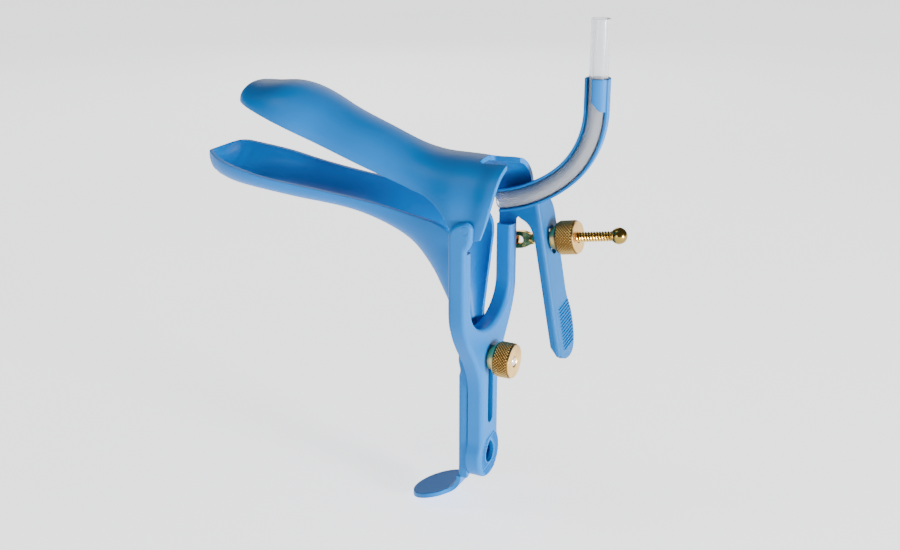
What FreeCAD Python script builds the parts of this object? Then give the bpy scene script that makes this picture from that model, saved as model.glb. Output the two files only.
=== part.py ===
"""Bivalve speculum with height slide, angle rod and smoke channel, in millimetres.

The origin lies on the mid-plane, on the proximal face of the yoke's web, in line with
the height stud. +Y points to the blade tips, +Z up and +X to the lever side.
"""
import FreeCAD, Part
import math
import os
import Sketcher
from FreeCAD import Placement, Rotation, Vector

DRIVING_SIZES = {
    # Pressed sheet and the gaps between neighbours
    "sheet_wall": 1.6,
    "side_clearance": 0.1,
    "strip_clearance": 0.3,
    "pin_clearance": 0.03,
    "thread_clearance": 0.04,
    "seat_clearance": 0.05,
    "blade_clearance": 0.4,
    # Yoke
    "arm_span": 41.4,
    "arm_width": 5.2,
    "arm_depth": 6.3,
    "arm_step_height": 16.6,
    "web_drop": 8.4,
    "window_bottom": 11.1,
    "window_round": 12.4,
    "shoulder_top": 22.0,
    "shoulder_bottom": -12.0,
    "stem_width": 13.2,
    "stem_depth": 5.5,
    "bulb_width": 16.4,
    "bulb_height": -35.9,
    "stem_bottom": -44.9,
    "press_radius": 1.5,
    "head_radius": 2.5,
    "thumb_hole_width": 6.4,
    "thumb_hole_length": 8.6,
    # Hinge between yoke and upper blade
    "hinge_forward": 0.3,
    "hinge_height": 50.3,
    "hinge_pin_radius": 1.25,
    "pin_head_radius": 2.1,
    "pin_head_height": 0.7,
    "pin_recess": 0.3,
    # Height adjustment
    "lift_travel": 22.0,
    "stud_radius": 1.75,
    "slot_clearance": 0.2,
    "stud_reach": 8.5,
    "stud_flange_radius": 2.8,
    "stud_flange_height": 1.2,
    "stud_tail_radius": 1.3,
    "nut_radius": 6.1,
    "nut_length": 6.2,
    "nut_boss_radius": 4.1,
    "nut_boss_length": 2.4,
    "nut_chamfer": 0.5,
    # Lower blade with its handle strip and thumb rest
    "blade_length": 110.7,
    "lower_width": 28.0,
    "lower_flare": 32.4,
    "lower_mouth": 30.6,
    "tip_length": 26.0,
    "strip_width": 12.8,
    "strip_depth": 3.9,
    "strip_bottom": -44.4,
    "rest_width": 19.0,
    "rest_length": 16.5,
    "rest_bend": 8.0,
    "rest_slope": 20.0,
    # Upper blade with its collar and ears
    "upper_length": 95.5,
    "upper_width": 27.4,
    "upper_flare": 32.6,
    "upper_tip_length": 24.0,
    "collar_height": 18.5,
    "collar_back": -7.0,
    "ear_radius": 5.3,
    "notch_width": 10.6,
    "notch_depth": 9.6,
    # Thumb lever
    "lever_tilt": 10.0,
    "lever_face": 9.5,
    "lever_length": 58.0,
    "lever_margin": 4.9,
    "lever_pad_margin": 7.3,
    "lever_plate_depth": 3.6,
    "bend_radius": 1.5,
    "lever_slot_top": 10.6,
    "lever_slot_length": 10.2,
    "lever_rivet_radius": 1.1,
    # Angle rod with its eye, rivet, washer, ball and nut
    "rod_radius": 1.75,
    "rod_gap": 2.6,
    "rod_length": 39.2,
    "rod_pivot_forward": 3.6,
    "rod_pivot_drop": 16.1,
    "eye_radius": 3.0,
    "eye_thickness": 1.9,
    "eye_slot_length": 3.6,
    "eye_neck": 8.6,
    "rivet_radius": 1.4,
    "rivet_head_radius": 2.6,
    "rivet_tail_radius": 1.9,
    "washer_radius": 2.3,
    "rivet_head_height": 0.8,
    "ball_radius": 2.8,
    "ball_thread_length": 2.2,
    "angle_nut_radius": 5.85,
    "angle_nut_length": 7.0,
    "angle_boss_radius": 3.8,
    "angle_boss_length": 2.4,
    # Smoke channel and its tube
    "channel_wall": 0.8,
    "channel_start_forward": 3.0,
    "channel_rise": 1.3,
    "channel_start_slope": 9.0,
    "channel_mid_slope": 40.4,
    "channel_low_radius": 45.0,
    "channel_high_radius": 30.0,
    "channel_lip": 2.0,
    "clip_height": 10.0,
    "tube_radius": 3.0,
    "tube_bore_radius": 1.9,
    "tube_clearance": 0.05,
    "tube_stub": 18.0,
}

doc = FreeCAD.newDocument("bivalve_speculum")
sheet = doc.addObject("Spreadsheet::Sheet", "sizes")
for row, (alias, number) in enumerate(DRIVING_SIZES.items(), start=1):
    sheet.set(f"A{row}", alias)
    sheet.set(f"B{row}", f"{number:.4f}")
    sheet.setAlias(f"B{row}", alias)
doc.recompute()


def size(alias):
    """The value of one driving size."""
    return float(sheet.get(alias))


def tied(text):
    """An expression in which every @name stands for a cell of the sheet."""
    return text.replace("@", "sizes.")


def worth(text):
    """The number that such an expression gives."""
    return float(sheet.evalExpression(tied(text)))


wall = size("sheet_wall")
half_span = size("arm_span") / 2
arm_inside = half_span - wall
ear_outside = arm_inside - size("side_clearance")
ear_inside = ear_outside - wall
lever_inside = ear_inside - wall
hinge = Vector(0, size("hinge_forward"), size("hinge_height"))
web_top = hinge.z - size("web_drop")
rod_side = half_span + size("rod_gap")
pivot = Vector(rod_side, size("rod_pivot_forward"), hinge.z - size("rod_pivot_drop"))
strip_front = size("stem_depth") + size("strip_clearance")
strip_back = strip_front + size("strip_depth")
tilt = math.radians(size("lever_tilt"))
PROXIMAL = Vector(0, -math.cos(tilt), math.sin(tilt))
DOWNWARD = Vector(0, -math.sin(tilt), -math.cos(tilt))
ORIGIN = Vector(0, 0, 0)
SIDEWAYS = Vector(1, 0, 0)
FORWARD = Vector(0, 1, 0)
UPWARD = Vector(0, 0, 1)
ROOMY = 200.0
SECTION_STEPS = 20


# Helpers for sketches and features

def new_body(label):
    """An empty body whose label names the node."""
    body = doc.addObject("PartDesign::Body", label)
    body.Label = label
    return body


def origin_plane(body, role):
    """The origin plane of a body with the given role."""
    return next(item for item in body.Origin.OriginFeatures if item.Role == role)


def new_sketch(body, role, name, curves, offset="0"):
    """A sketch of the given curves, attached to an origin plane and set off along its normal."""
    sketch = body.newObject("Sketcher::SketchObject", name)
    sketch.AttachmentSupport = [(origin_plane(body, role), "")]
    sketch.MapMode = "FlatFace"
    if offset != "0":
        sketch.setExpression("AttachmentOffset.Base.z", tied(offset))
    sketch.addGeometry(drawn(curves), False)
    return sketch


def new_profile(body, role, name, corners, offset="0"):
    """A closed polygon whose corners are pairs of expressions, each held by two distances."""
    spots = [Vector(worth(across), worth(up), 0) for across, up in corners]
    lines = [Part.LineSegment(spots[i], spots[(i + 1) % len(spots)]) for i in range(len(spots))]
    sketch = new_sketch(body, role, name, lines, offset)
    for i in range(len(lines)):
        following = (i + 1) % len(lines)
        sketch.addConstraint(Sketcher.Constraint("Coincident", i, 2, following, 1))
    for i, (across, up) in enumerate(corners):
        for kind, text, value in (("DistanceX", across, spots[i].x), ("DistanceY", up, spots[i].y)):
            index = sketch.addConstraint(Sketcher.Constraint(kind, -1, 1, i, 1, value))
            sketch.setExpression(f"Constraints[{index}]", tied(text))
    return sketch


def new_circle(body, role, name, centre, radius, offset="0"):
    """A circle held by its centre and radius."""
    spot = Vector(worth(centre[0]), worth(centre[1]), 0)
    sketch = new_sketch(body, role, name, [Part.Circle(spot, UPWARD, worth(radius))], offset)
    held = (("DistanceX", centre[0], spot.x), ("DistanceY", centre[1], spot.y))
    for kind, text, value in held:
        index = sketch.addConstraint(Sketcher.Constraint(kind, -1, 1, 0, 3, value))
        sketch.setExpression(f"Constraints[{index}]", tied(text))
    index = sketch.addConstraint(Sketcher.Constraint("Radius", 0, worth(radius)))
    sketch.setExpression(f"Constraints[{index}]", tied(radius))
    return sketch


def feature(body, kind, name, sketch, length=None, backwards=False, through=False):
    """A pad or pocket of a sketch, with its length tied to the sheet."""
    item = body.newObject(f"PartDesign::{kind}", name)
    item.Profile = sketch
    item.Reversed = backwards
    if through:
        item.Type = "ThroughAll"
        item.Midplane = True
    else:
        item.setExpression("Length", tied(length))
    sketch.Visibility = False
    return item


def turned(body, name, sketch, axis="H_Axis"):
    """A full revolution of a profile about one axis of its sketch."""
    item = body.newObject("PartDesign::Revolution", name)
    item.Profile = sketch
    item.ReferenceAxis = (sketch, [axis])
    item.Angle = 360.0
    sketch.Visibility = False
    return item


def plain_feature(label, shape, placement=None):
    """A piece whose shape is worked out here, for free-form sheet that no sketch gives."""
    item = doc.addObject("Part::Feature", label)
    item.Label = label
    item.Shape = shape
    item.Placement = placement or Placement(ORIGIN, Rotation())
    return item


def bezier(*poles):
    """A Bezier stroke, kept as its poles."""
    return poles


def line(start, end):
    """A straight stroke, kept as its two ends."""
    return (start, end)


def mirrored(strokes):
    """The same strokes on the other side of the vertical axis."""
    return [tuple((-across, up) for across, up in poles) for poles in strokes]


def drawn(strokes):
    """The curves of some strokes in a sketch's own plane; arcs pass through as they are."""
    curves = []
    for stroke in strokes:
        if not isinstance(stroke, tuple):
            curves.append(stroke)
        elif len(stroke) == 2:
            curves.append(Part.LineSegment(Vector(*stroke[0], 0), Vector(*stroke[1], 0)))
        else:
            curve = Part.BezierCurve()
            curve.setPoles([Vector(*pole, 0) for pole in stroke])
            curves.append(curve.toBSpline())
    return curves


def face_from(curves):
    """A flat face inside closed curves."""
    edges = Part.__sortEdges__([curve.toShape() for curve in drawn(curves)])
    return Part.Face(Part.Wire(edges))


def box_between(low, high):
    """A box from one corner to the opposite one."""
    span = Vector(*high) - Vector(*low)
    return Part.makeBox(span.x, span.y, span.z, Vector(*low))


# Yoke frame

def yoke_outline(inset, top):
    """The yoke seen from the front: arms, shoulders, stem and round bulb, inset by a wall."""
    span = half_span - inset
    stem = size("stem_width") / 2 - inset
    bulb = size("bulb_width") / 2 - inset
    low = size("stem_bottom") + inset
    lift = 0.4 * inset
    high = size("shoulder_top") + lift
    foot = size("shoulder_bottom") + lift
    third = (high - foot) / 2.4
    centre = size("bulb_height")
    round_span = centre - low
    half = [
        line((span, top), (span, high)),
        bezier((span, high), (span, high - third), (stem, foot + third), (stem, foot)),
        line((stem, foot), (stem, centre + round_span * 0.75)),
        bezier((stem, centre + round_span * 0.75), (stem, centre + round_span * 0.4),
               (bulb, centre + round_span * 0.4), (bulb, centre)),
        bezier((bulb, centre), (bulb, centre - round_span * 0.56), (bulb * 0.56, low), (0, low)),
    ]
    return half + mirrored(half) + [line((span, top), (-span, top))]


def window_outline(outset, top):
    """The opening between the arms, with an elliptical bottom, grown by a wall."""
    half = half_span - size("arm_width") + outset
    depth = size("window_round") + outset
    centre = size("window_bottom") + size("window_round")
    bottom = centre - depth
    bow = 0.5523
    side = [
        line((half, top), (half, centre)),
        bezier((half, centre), (half, centre - depth * bow), (half * bow, bottom), (0, bottom)),
    ]
    return side + mirrored(side) + [line((half, top), (-half, top))]


def make_yoke():
    """The pressed channel yoke with side plates that run up to the hinge heads."""
    body = new_body("yoke_frame")
    top = web_top
    outline = new_sketch(body, "XZ_Plane", "yoke_outline", yoke_outline(0, top))
    feature(body, "Pad", "yoke_blank", outline, "@arm_depth", backwards=True)
    over = top + 5
    cavity = yoke_outline(wall, over)
    island = new_sketch(body, "XZ_Plane", "yoke_cavity", cavity, "-@sheet_wall")
    doc.recompute()
    feature(body, "Pocket", "yoke_pressing", island, "@arm_depth")
    doc.recompute()
    ring = window_outline(wall, top)
    collar = new_sketch(body, "XZ_Plane", "window_flange", ring)
    feature(body, "Pad", "window_flange_pad", collar, "@stem_depth", backwards=True)
    opening = new_sketch(body, "XZ_Plane", "window_cut", window_outline(0, over))
    feature(body, "Pocket", "window_opening", opening, through=True)
    low = "@stem_bottom - 5"
    trim = new_profile(body, "YZ_Plane", "depth_trim", [
        ("@stem_depth", low), ("@arm_depth + 5", low),
        ("@arm_depth + 5", "@arm_step_height"), ("@arm_depth", "@arm_step_height"),
        ("@stem_depth", "@arm_step_height - @arm_depth + @stem_depth")])
    feature(body, "Pocket", "stem_depth_trim", trim, through=True)
    doc.recompute()
    for side in (-1, 1):
        make_side_plate(body, side)
    doc.recompute()
    rounded_press_edges(body)
    make_yoke_holes(body)
    return body


def make_side_plate(body, side):
    """The side plate above the web with its round hinge head and the hinge hole."""
    reach = size("arm_depth")
    head = size("head_radius")
    top = web_top
    forward = hinge.y
    high = hinge.z
    crown = high + head
    start = (0, top - 4)
    curves = [
        line((reach, top - 4), start),
        line(start, (0, top + 0.8)),
        bezier((0, top + 0.8), (0, top + 2.4), (forward - head, top + 2.0), (forward - head, high)),
        bezier((forward - head, high), (forward - head, crown - 1.1), (forward - 1.4, crown), (forward, crown)),
        bezier((forward, crown), (forward + 2.6, crown - 0.2), (reach - 0.2, crown - 2.0), (reach, high - 2.6)),
        line((reach, high - 2.6), (reach, top - 4)),
    ]
    name = "left" if side < 0 else "right"
    place = f"{side} * (@arm_span / 2 - @sheet_wall)"
    plate = new_sketch(body, "YZ_Plane", f"head_{name}", curves, place)
    feature(body, "Pad", f"side_plate_{name}", plate, "@sheet_wall", backwards=side < 0)
    doc.recompute()


def rounded_press_edges(body):
    """Round the front edges as pressing leaves them."""
    radius = size("press_radius")
    base = body.Tip
    names = []
    for number, edge in enumerate(base.Shape.Edges, start=1):
        box = edge.BoundBox
        on_face = box.YMax < 0.01 and box.YMin > -0.01
        at_top = box.ZMin > web_top - 0.1
        if on_face and not at_top and edge.Length > radius:
            names.append(f"Edge{number}")
    fillet = body.newObject("PartDesign::Fillet", "press_rounding")
    fillet.Base = (base, names)
    fillet.setExpression("Radius", tied("min(@press_radius; 0.95 * @sheet_wall)"))
    doc.recompute()


def make_yoke_holes(body):
    """Height slot, thumb hole, hinge holes and the hole for the rod's rivet."""
    slot = size("stud_radius") + size("slot_clearance")
    low = -size("lift_travel") - size("slot_clearance")
    high = size("slot_clearance")
    curves = [
        line((slot, low), (slot, high)),
        Part.ArcOfCircle(Part.Circle(Vector(0, high, 0), UPWARD, slot), 0, math.pi),
        line((-slot, high), (-slot, low)),
        Part.ArcOfCircle(Part.Circle(Vector(0, low, 0), UPWARD, slot), math.pi, 2 * math.pi),
    ]
    sketch = new_sketch(body, "XZ_Plane", "height_slot", curves)
    feature(body, "Pocket", "height_slot_cut", sketch, through=True)
    half = size("thumb_hole_width") / 2
    length = size("thumb_hole_length")
    centre = size("bulb_height") - 0.3
    side = [
        bezier((0, centre + length - half), (half * 0.3, centre + length * 0.45),
               (half, centre + half * 0.9), (half, centre)),
        bezier((half, centre), (half, centre - half * 0.55), (half * 0.55, centre - half), (0, centre - half)),
    ]
    drop = new_sketch(body, "XZ_Plane", "thumb_hole", side + mirrored(side))
    feature(body, "Pocket", "thumb_hole_cut", drop, through=True)
    pin = new_circle(body, "YZ_Plane", "hinge_bore", ("@hinge_forward", "@hinge_height"),
                     "@hinge_pin_radius + @pin_clearance")
    feature(body, "Pocket", "hinge_bore_cut", pin, through=True)
    rivet = new_circle(body, "YZ_Plane", "rivet_bore", ("@rod_pivot_forward", "(@hinge_height - @rod_pivot_drop)"),
                       "@rivet_radius + @pin_clearance", "@arm_span / 2 + 1")
    feature(body, "Pocket", "rivet_bore_cut", rivet, "@sheet_wall + 1.5")


make_yoke()


# Pressed blades

def superellipse(fullness, width, depth, count):
    """Evenly spaced pairs of width and depth along half a superellipse, from rim to rim."""
    fine = 400
    samples = []
    for step in range(fine + 1):
        angle = math.pi * step / fine
        across = math.copysign(abs(math.cos(angle)) ** (2 / fullness), math.cos(angle)) * width
        samples.append((across, max(math.sin(angle), 0.0) ** (2 / fullness) * depth))
    travelled = [0.0]
    for before, after in zip(samples, samples[1:]):
        travelled.append(travelled[-1] + math.dist(before, after))
    spots = []
    index = 0
    for number in range(count + 1):
        goal = travelled[-1] * number / count
        while index < fine - 1 and travelled[index + 1] < goal:
            index += 1
        share = (goal - travelled[index]) / (travelled[index + 1] - travelled[index])
        before, after = samples[index], samples[index + 1]
        spots.append(tuple(b + (a - b) * share for b, a in zip(before, after)))
    return spots


def trough_wire(station, inset):
    """Half a superellipse from rim to rim, in the plane of the X axis and the rim-floor line."""
    rim_forward, rim_height, floor_forward, floor_height, half_width, fullness = station
    rim = Vector(0, rim_forward, rim_height)
    depth_line = Vector(0, floor_forward, floor_height) - rim
    down = Vector(depth_line).normalize()
    spots = superellipse(fullness, half_width - inset, depth_line.Length - inset, SECTION_STEPS)
    points = [rim + SIDEWAYS * across + down * deep for across, deep in spots]
    curve = Part.BSplineCurve()
    curve.interpolate(Points=points, Parameters=[number / SECTION_STEPS for number in range(len(points))])
    return curve.toShape(), down


def closed_section(station, inset, headroom):
    """A trough's section closed across its mouth, taken up by some headroom beyond the rim."""
    curve, down = trough_wire(station, inset)
    first = curve.Vertexes[0].Point
    last = curve.Vertexes[-1].Point
    corners = [last, first]
    if headroom > 0:
        corners = [last, last - down * headroom, first - down * headroom, first]
    sides = [Part.LineSegment(begin, end).toShape() for begin, end in zip(corners, corners[1:])]
    return Part.Wire([curve] + sides)


def sheet_section(station):
    """The closed section of the sheet itself at one station."""
    outer = trough_wire(station, 0)[0]
    inner = trough_wire(station, wall)[0]
    first = Part.LineSegment(outer.Vertexes[0].Point, inner.Vertexes[0].Point).toShape()
    last = Part.LineSegment(inner.Vertexes[-1].Point, outer.Vertexes[-1].Point).toShape()
    return Part.Wire([outer, last, inner, first])


def pressed_trough(length, tip, half, heights, fullness, rest):
    """A pressed sheet trough with a closed round nose: the outside less its hollow."""
    solids = []
    for inset, headroom in ((0, 0), (wall, 3 * wall)):
        stations = nose_stations(length, tip, half, heights, fullness, inset) + rest
        sections = [closed_section(station, inset, headroom) for station in stations]
        solids.append(Part.makeLoft(sections, True, False, False, 3))
    return solids[0].cut(solids[1])


def nose_stations(length, tip, half, heights, fullness, inset):
    """Stations along the nose, the outermost first; a hollow's nose ends one wall earlier."""
    start = length - tip
    stations = []
    for share in (0.97, 0.89, 0.75, 0.55, 0.3, 0.0):
        forward = start + (tip - inset) * share
        rim, floor = height_pair(heights, (forward - start) / tip)
        narrowing = (1 - share ** 1.8) ** 0.62
        width = (half - inset) * narrowing + inset
        stations.append((forward, rim, forward, floor, width, fullness))
    return stations


def blade_heights(length, rows):
    """The nose's height rows in millimetres, from shares of the length above the hinge."""
    return [(share, hinge.z + rim * length, hinge.z + floor * length) for share, rim, floor in rows]


def blade_stations(length, rows):
    """Stations in millimetres, from shares of the length ahead of the web and above the hinge."""
    return [(rim_forward * length, hinge.z + rim * length, floor_forward * length, hinge.z + floor * length,
             half_width, fullness)
            for rim_forward, rim, floor_forward, floor, half_width, fullness in rows]


def height_pair(heights, share):
    """Rim and floor height at a share of the nose, between two rows of a table."""
    for before, after in zip(heights, heights[1:]):
        if share <= after[0]:
            part = (share - before[0]) / (after[0] - before[0])
            return tuple(b + (a - b) * part for b, a in zip(before[1:], after[1:]))
    return heights[-1][1:]


def make_lower_blade():
    """Trough, bend, handle strip and thumb rest in one pressed sheet."""
    length = size("blade_length")
    waist = size("lower_width") / 2
    flare = size("lower_flare") / 2
    mouth = min(size("lower_mouth") / 2, half_span - size("arm_width") - size("blade_clearance"))
    strip = size("strip_width") / 2
    low = size("strip_bottom")
    front = strip_front
    back = strip_back
    bend = 0.012 * length
    # Share of the nose, then rim and floor above the hinge as shares of the blade's length
    heights = blade_heights(length, [
        (0.0, 0.068, -0.007), (0.3, 0.081, -0.002), (0.55, 0.094, 0.008), (0.75, 0.097, 0.024),
        (0.89, 0.091, 0.042), (0.97, 0.081, 0.060), (1.0, 0.078, 0.063),
    ])
    # Rim forward and up, floor forward and up, all as shares of the length, then half width and fullness
    trough = blade_stations(length, [
        (0.678, 0.054, 0.673, -0.014, flare * 0.985, 2.2),
        (0.560, 0.042, 0.560, -0.023, waist * 1.055, 2.2),
        (0.407, 0.028, 0.416, -0.036, waist, 2.2),
        (0.271, 0.012, 0.312, -0.068, waist * 0.985, 2.2),
        (0.172, -0.003, 0.248, -0.102, waist * 1.01, 2.2),
        (0.099, -0.019, 0.210, -0.136, mouth * 0.97, 2.3),
        ((front + bend) / length, -0.051, 0.184, -0.164, mouth * 0.985, 2.4),
        (front / length, -0.110, 0.160, -0.196, mouth * 0.93, 2.5),
        (front / length, -0.187, 0.135, -0.246, strip + (mouth - strip) * 0.60, 2.7),
        (front / length, -0.277, 0.110, -0.313, strip + (mouth - strip) * 0.26, 3.2),
        (front / length, -0.368, back / length + 0.005, -0.381, strip + (mouth - strip) * 0.07, 4.0),
        (front / length, -0.431, back / length + 0.001, -0.436, strip + (mouth - strip) * 0.01, 4.7),
        (front / length, -0.476, back / length, -0.476, strip, 5.0),
        (front / length, -0.512, back / length, -0.512, strip, 5.0),
    ])
    last = sheet_section(trough[-1])
    stem = Part.Face(last).extrude(Vector(0, 0, low - trough[-1][1]))
    blade = pressed_trough(length, size("tip_length"), flare, heights, 2.2, trough)
    blade = blade.cut(box_between((-ROOMY, front - 20, low - 20), (ROOMY, front, hinge.z)))
    rest = make_thumb_rest(low, back)
    hole = Part.makeCylinder(size("stud_tail_radius") + size("pin_clearance"), ROOMY / 4, ORIGIN, FORWARD)
    blade = blade.fuse([stem, rest]).cut(hole).removeSplitter()
    return plain_feature("lower_blade", blade)


def make_thumb_rest(low, back):
    """The leaf below the strip, bent forward for the thumb."""
    radius = size("rest_bend")
    slope = math.radians(90 - size("rest_slope"))
    centre = Vector(0, back + radius - wall, low)
    inner = radius - wall

    def ring(distance, angle):
        return centre + Vector(0, -math.cos(angle) * distance, -math.sin(angle) * distance)

    ahead = Vector(0, math.sin(slope), -math.cos(slope))
    reach = ahead * size("rest_length")
    start_outer = ring(radius, 0)
    start_inner = ring(inner, 0)
    end_outer = ring(radius, slope)
    end_inner = ring(inner, slope)
    path = [
        Part.Arc(start_outer, ring(radius, slope / 2), end_outer).toShape(),
        Part.LineSegment(end_outer, end_outer + reach).toShape(),
        Part.LineSegment(end_outer + reach, end_inner + reach).toShape(),
        Part.LineSegment(end_inner + reach, end_inner).toShape(),
        Part.Arc(end_inner, ring(inner, slope / 2), start_inner).toShape(),
        Part.LineSegment(start_inner, start_outer).toShape(),
    ]
    side_view = Part.Face(Part.Wire(Part.__sortEdges__(path)))
    band = side_view.extrude(SIDEWAYS * size("rest_width") * 1.4)
    band.translate(SIDEWAYS * -size("rest_width") * 0.7)
    tip = end_outer.y + reach.y
    strip = size("strip_width") / 2
    half = size("rest_width") / 2
    widest = tip - half
    side = [
        line((strip, back - 3 * wall), (strip, back + 0.5)),
        bezier((strip, back + 0.5), (strip, back + 4.5), (half, widest - 6), (half, widest)),
        bezier((half, widest), (half, widest + half * 0.56), (half * 0.56, tip), (0, tip)),
    ]
    rear = [line((strip, back - 3 * wall), (-strip, back - 3 * wall))]
    plan = face_from(side + mirrored(side) + rear)
    keep = plan.extrude(Vector(0, 0, ROOMY))
    keep.translate(Vector(0, 0, -ROOMY))
    return band.common(keep)


def make_upper_blade():
    """Blade, collar and hinge ears in one pressed sheet."""
    length = size("upper_length")
    waist = size("upper_width") / 2
    flare = size("upper_flare") / 2
    crown = hinge.z + size("collar_height")
    ear = ear_outside
    # Share of the nose, then rim and crown above the hinge as shares of the blade's length
    heights = blade_heights(length, [
        (0.0, 0.267, 0.381), (0.3, 0.292, 0.380), (0.55, 0.308, 0.376), (0.75, 0.314, 0.368),
        (0.89, 0.316, 0.353), (0.97, 0.315, 0.334), (1.0, 0.314, 0.324),
    ])
    # Rim forward and up, crown forward and up, all as shares of the length, then half width and fullness
    stations = blade_stations(length, [
        (0.670, 0.238, 0.644, 0.349, flare * 0.965, 2.1),
        (0.597, 0.209, 0.561, 0.313, waist * 1.055, 2.1),
        (0.450, 0.157, 0.416, 0.259, waist * 1.01, 2.1),
        (0.325, 0.118, 0.295, 0.215, waist * 0.99, 2.1),
        (0.230, 0.090, 0.212, 0.198, waist * 1.03, 2.1),
        (0.157, 0.049, 0.147, 0.195, waist + (ear - waist) * 0.42, 2.1),
        (0.099, -0.008, 0.094, 0.195, waist + (ear - waist) * 0.85, 2.15),
    ])
    rim = hinge.z - 0.72 * size("ear_radius")
    back = size("collar_back")
    for forward in (back + 11.5, back + 6, back - 2):
        stations.append((forward, rim, forward, crown, ear, 2.2))
    trough = pressed_trough(length, size("upper_tip_length"), flare, heights, 2.1, stations)
    blade = trough.common(ear_prism(length))
    flat_top = hinge.z + size("pin_head_radius") + wall / 4
    blade = blade.cut(box_between((-ear_inside, -ROOMY, 0), (ear_inside, size("arm_depth"), flat_top)))
    blade = blade.common(box_between((-ear_outside, -ROOMY, 0), (ear_outside, ROOMY, ROOMY)))
    notch = size("notch_width") / 2
    slit = box_between((-notch, back - 5, hinge.z + 5), (notch, back + size("notch_depth"), ROOMY))
    corners = [edge for edge in slit.Edges if abs(edge.BoundBox.YMin - back - size("notch_depth")) < 0.01
               and edge.BoundBox.ZLength > 1]
    slit = slit.makeFillet(1.2, corners)
    bore = Part.makeCylinder(size("hinge_pin_radius") + size("pin_clearance"), ROOMY,
                             hinge - SIDEWAYS * ROOMY / 2, SIDEWAYS)
    joint = Part.makeCylinder(size("lever_rivet_radius") + size("pin_clearance"), ROOMY, rivet_spot(), SIDEWAYS)
    blade = blade.cut(slit).cut(bore).cut(joint).removeSplitter()
    plain_feature("upper_blade", blade)
    return blade


def ear_prism(length):
    """The upper blade seen from the side: ears round the hinge, the collar's rim and the blade."""
    radius = size("ear_radius")
    back = size("collar_back")
    high = hinge.z
    low_left = Vector(0, hinge.y - radius * 0.82, high - radius * 0.57)
    bottom = Vector(0, hinge.y, high - radius)
    low_right = Vector(0, hinge.y + radius * 0.86, high - radius * 0.51)
    root = (0.23 * length, high + 0.09 * length)
    under = high - 2 * radius
    edges = [
        Part.LineSegment(Vector(0, back, ROOMY), Vector(0, back, high + 12)).toShape(),
        curve_in_side_view([(back, high + 12), (back, high + 5), (back + 1.6, high), (low_left.y, low_left.z)]),
        Part.Arc(low_left, bottom, low_right).toShape(),
        curve_in_side_view([(low_right.y, low_right.z), (low_right.y + 3, high + 1.5),
                            (low_right.y + 7, high + 7.5), root]),
        Part.LineSegment(Vector(0, *root), Vector(0, root[0], under)).toShape(),
        Part.LineSegment(Vector(0, root[0], under), Vector(0, length + 20, under)).toShape(),
        Part.LineSegment(Vector(0, length + 20, under), Vector(0, length + 20, ROOMY)).toShape(),
        Part.LineSegment(Vector(0, length + 20, ROOMY), Vector(0, back, ROOMY)).toShape(),
    ]
    view = Part.Face(Part.Wire(Part.__sortEdges__(edges)))
    prism = view.extrude(SIDEWAYS * ROOMY)
    prism.translate(SIDEWAYS * -ROOMY / 2)
    return prism


def curve_in_side_view(poles):
    """A Bezier edge whose poles are forward and height pairs."""
    curve = Part.BezierCurve()
    curve.setPoles([Vector(0, forward, high) for forward, high in poles])
    return curve.toShape()


def rivet_spot():
    """Where the lever's rivet passes through the ear."""
    return hinge + PROXIMAL * 3.8 - DOWNWARD * 2.0


make_lower_blade()
collar = make_upper_blade()


# Thumb lever

def lever_frame():
    """Placement with its X axis proximal, its Y axis down the lever and its origin at the hinge."""
    rotation = Rotation(PROXIMAL, DOWNWARD, PROXIMAL.cross(DOWNWARD), "XYZ")
    return Placement(hinge, rotation)


def make_lever():
    """An angle-section lever: a plate on the ear and a slotted front flange for the thumb."""
    face = size("lever_face")
    deep = face - size("lever_plate_depth")
    end = size("lever_length")
    plate_curves = [
        line((face, -1.5), (face, end - 5)),
        bezier((face, end - 5), (face, end - 3), (face - 0.6, end - 2.4), (face - 1.2, end - 2.4)),
        line((face - 1.2, end - 2.4), (deep + 0.5, end - 6)),
        line((deep + 0.5, end - 6), (deep + 0.3, 14)),
        bezier((deep + 0.3, 14), (deep, 9), (deep - 1.5, 7.6), (deep - 3.6, 6.2)),
        bezier((deep - 3.6, 6.2), (1.0, 5.0), (-0.6, 3.6), (-2.4, 3.2)),
        bezier((-2.4, 3.2), (-4.2, 2.8), (-4.4, -2.0), (-2.2, -2.6)),
        bezier((-2.2, -2.6), (0.5, -3.2), (2.0, -4.2), (4.4, -4.2)),
        bezier((4.4, -4.2), (7.4, -4.2), (face, -3.6), (face, -1.5)),
    ]
    frame = lever_frame()
    plate = face_from(plate_curves).extrude(Vector(0, 0, -wall))
    plate.Placement = frame
    shift = ear_inside - (plate.BoundBox.XMax)
    plate.translate(SIDEWAYS * shift)
    flange = make_lever_flange(end)
    lever = plate.fuse(flange).removeSplitter().cut(lever_corner_cutter())
    slot = make_lever_slot()
    pin = Part.makeCylinder(size("hinge_pin_radius") + size("pin_clearance"), ROOMY,
                            hinge - SIDEWAYS * ROOMY / 2, SIDEWAYS)
    rivet = Part.makeCylinder(size("lever_rivet_radius") + size("pin_clearance"), ROOMY, rivet_spot(), SIDEWAYS)
    lever = lever.cut(slot).cut(pin).cut(rivet).cut(collar).removeSplitter()
    return plain_feature("thumb_lever", lever)


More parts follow.
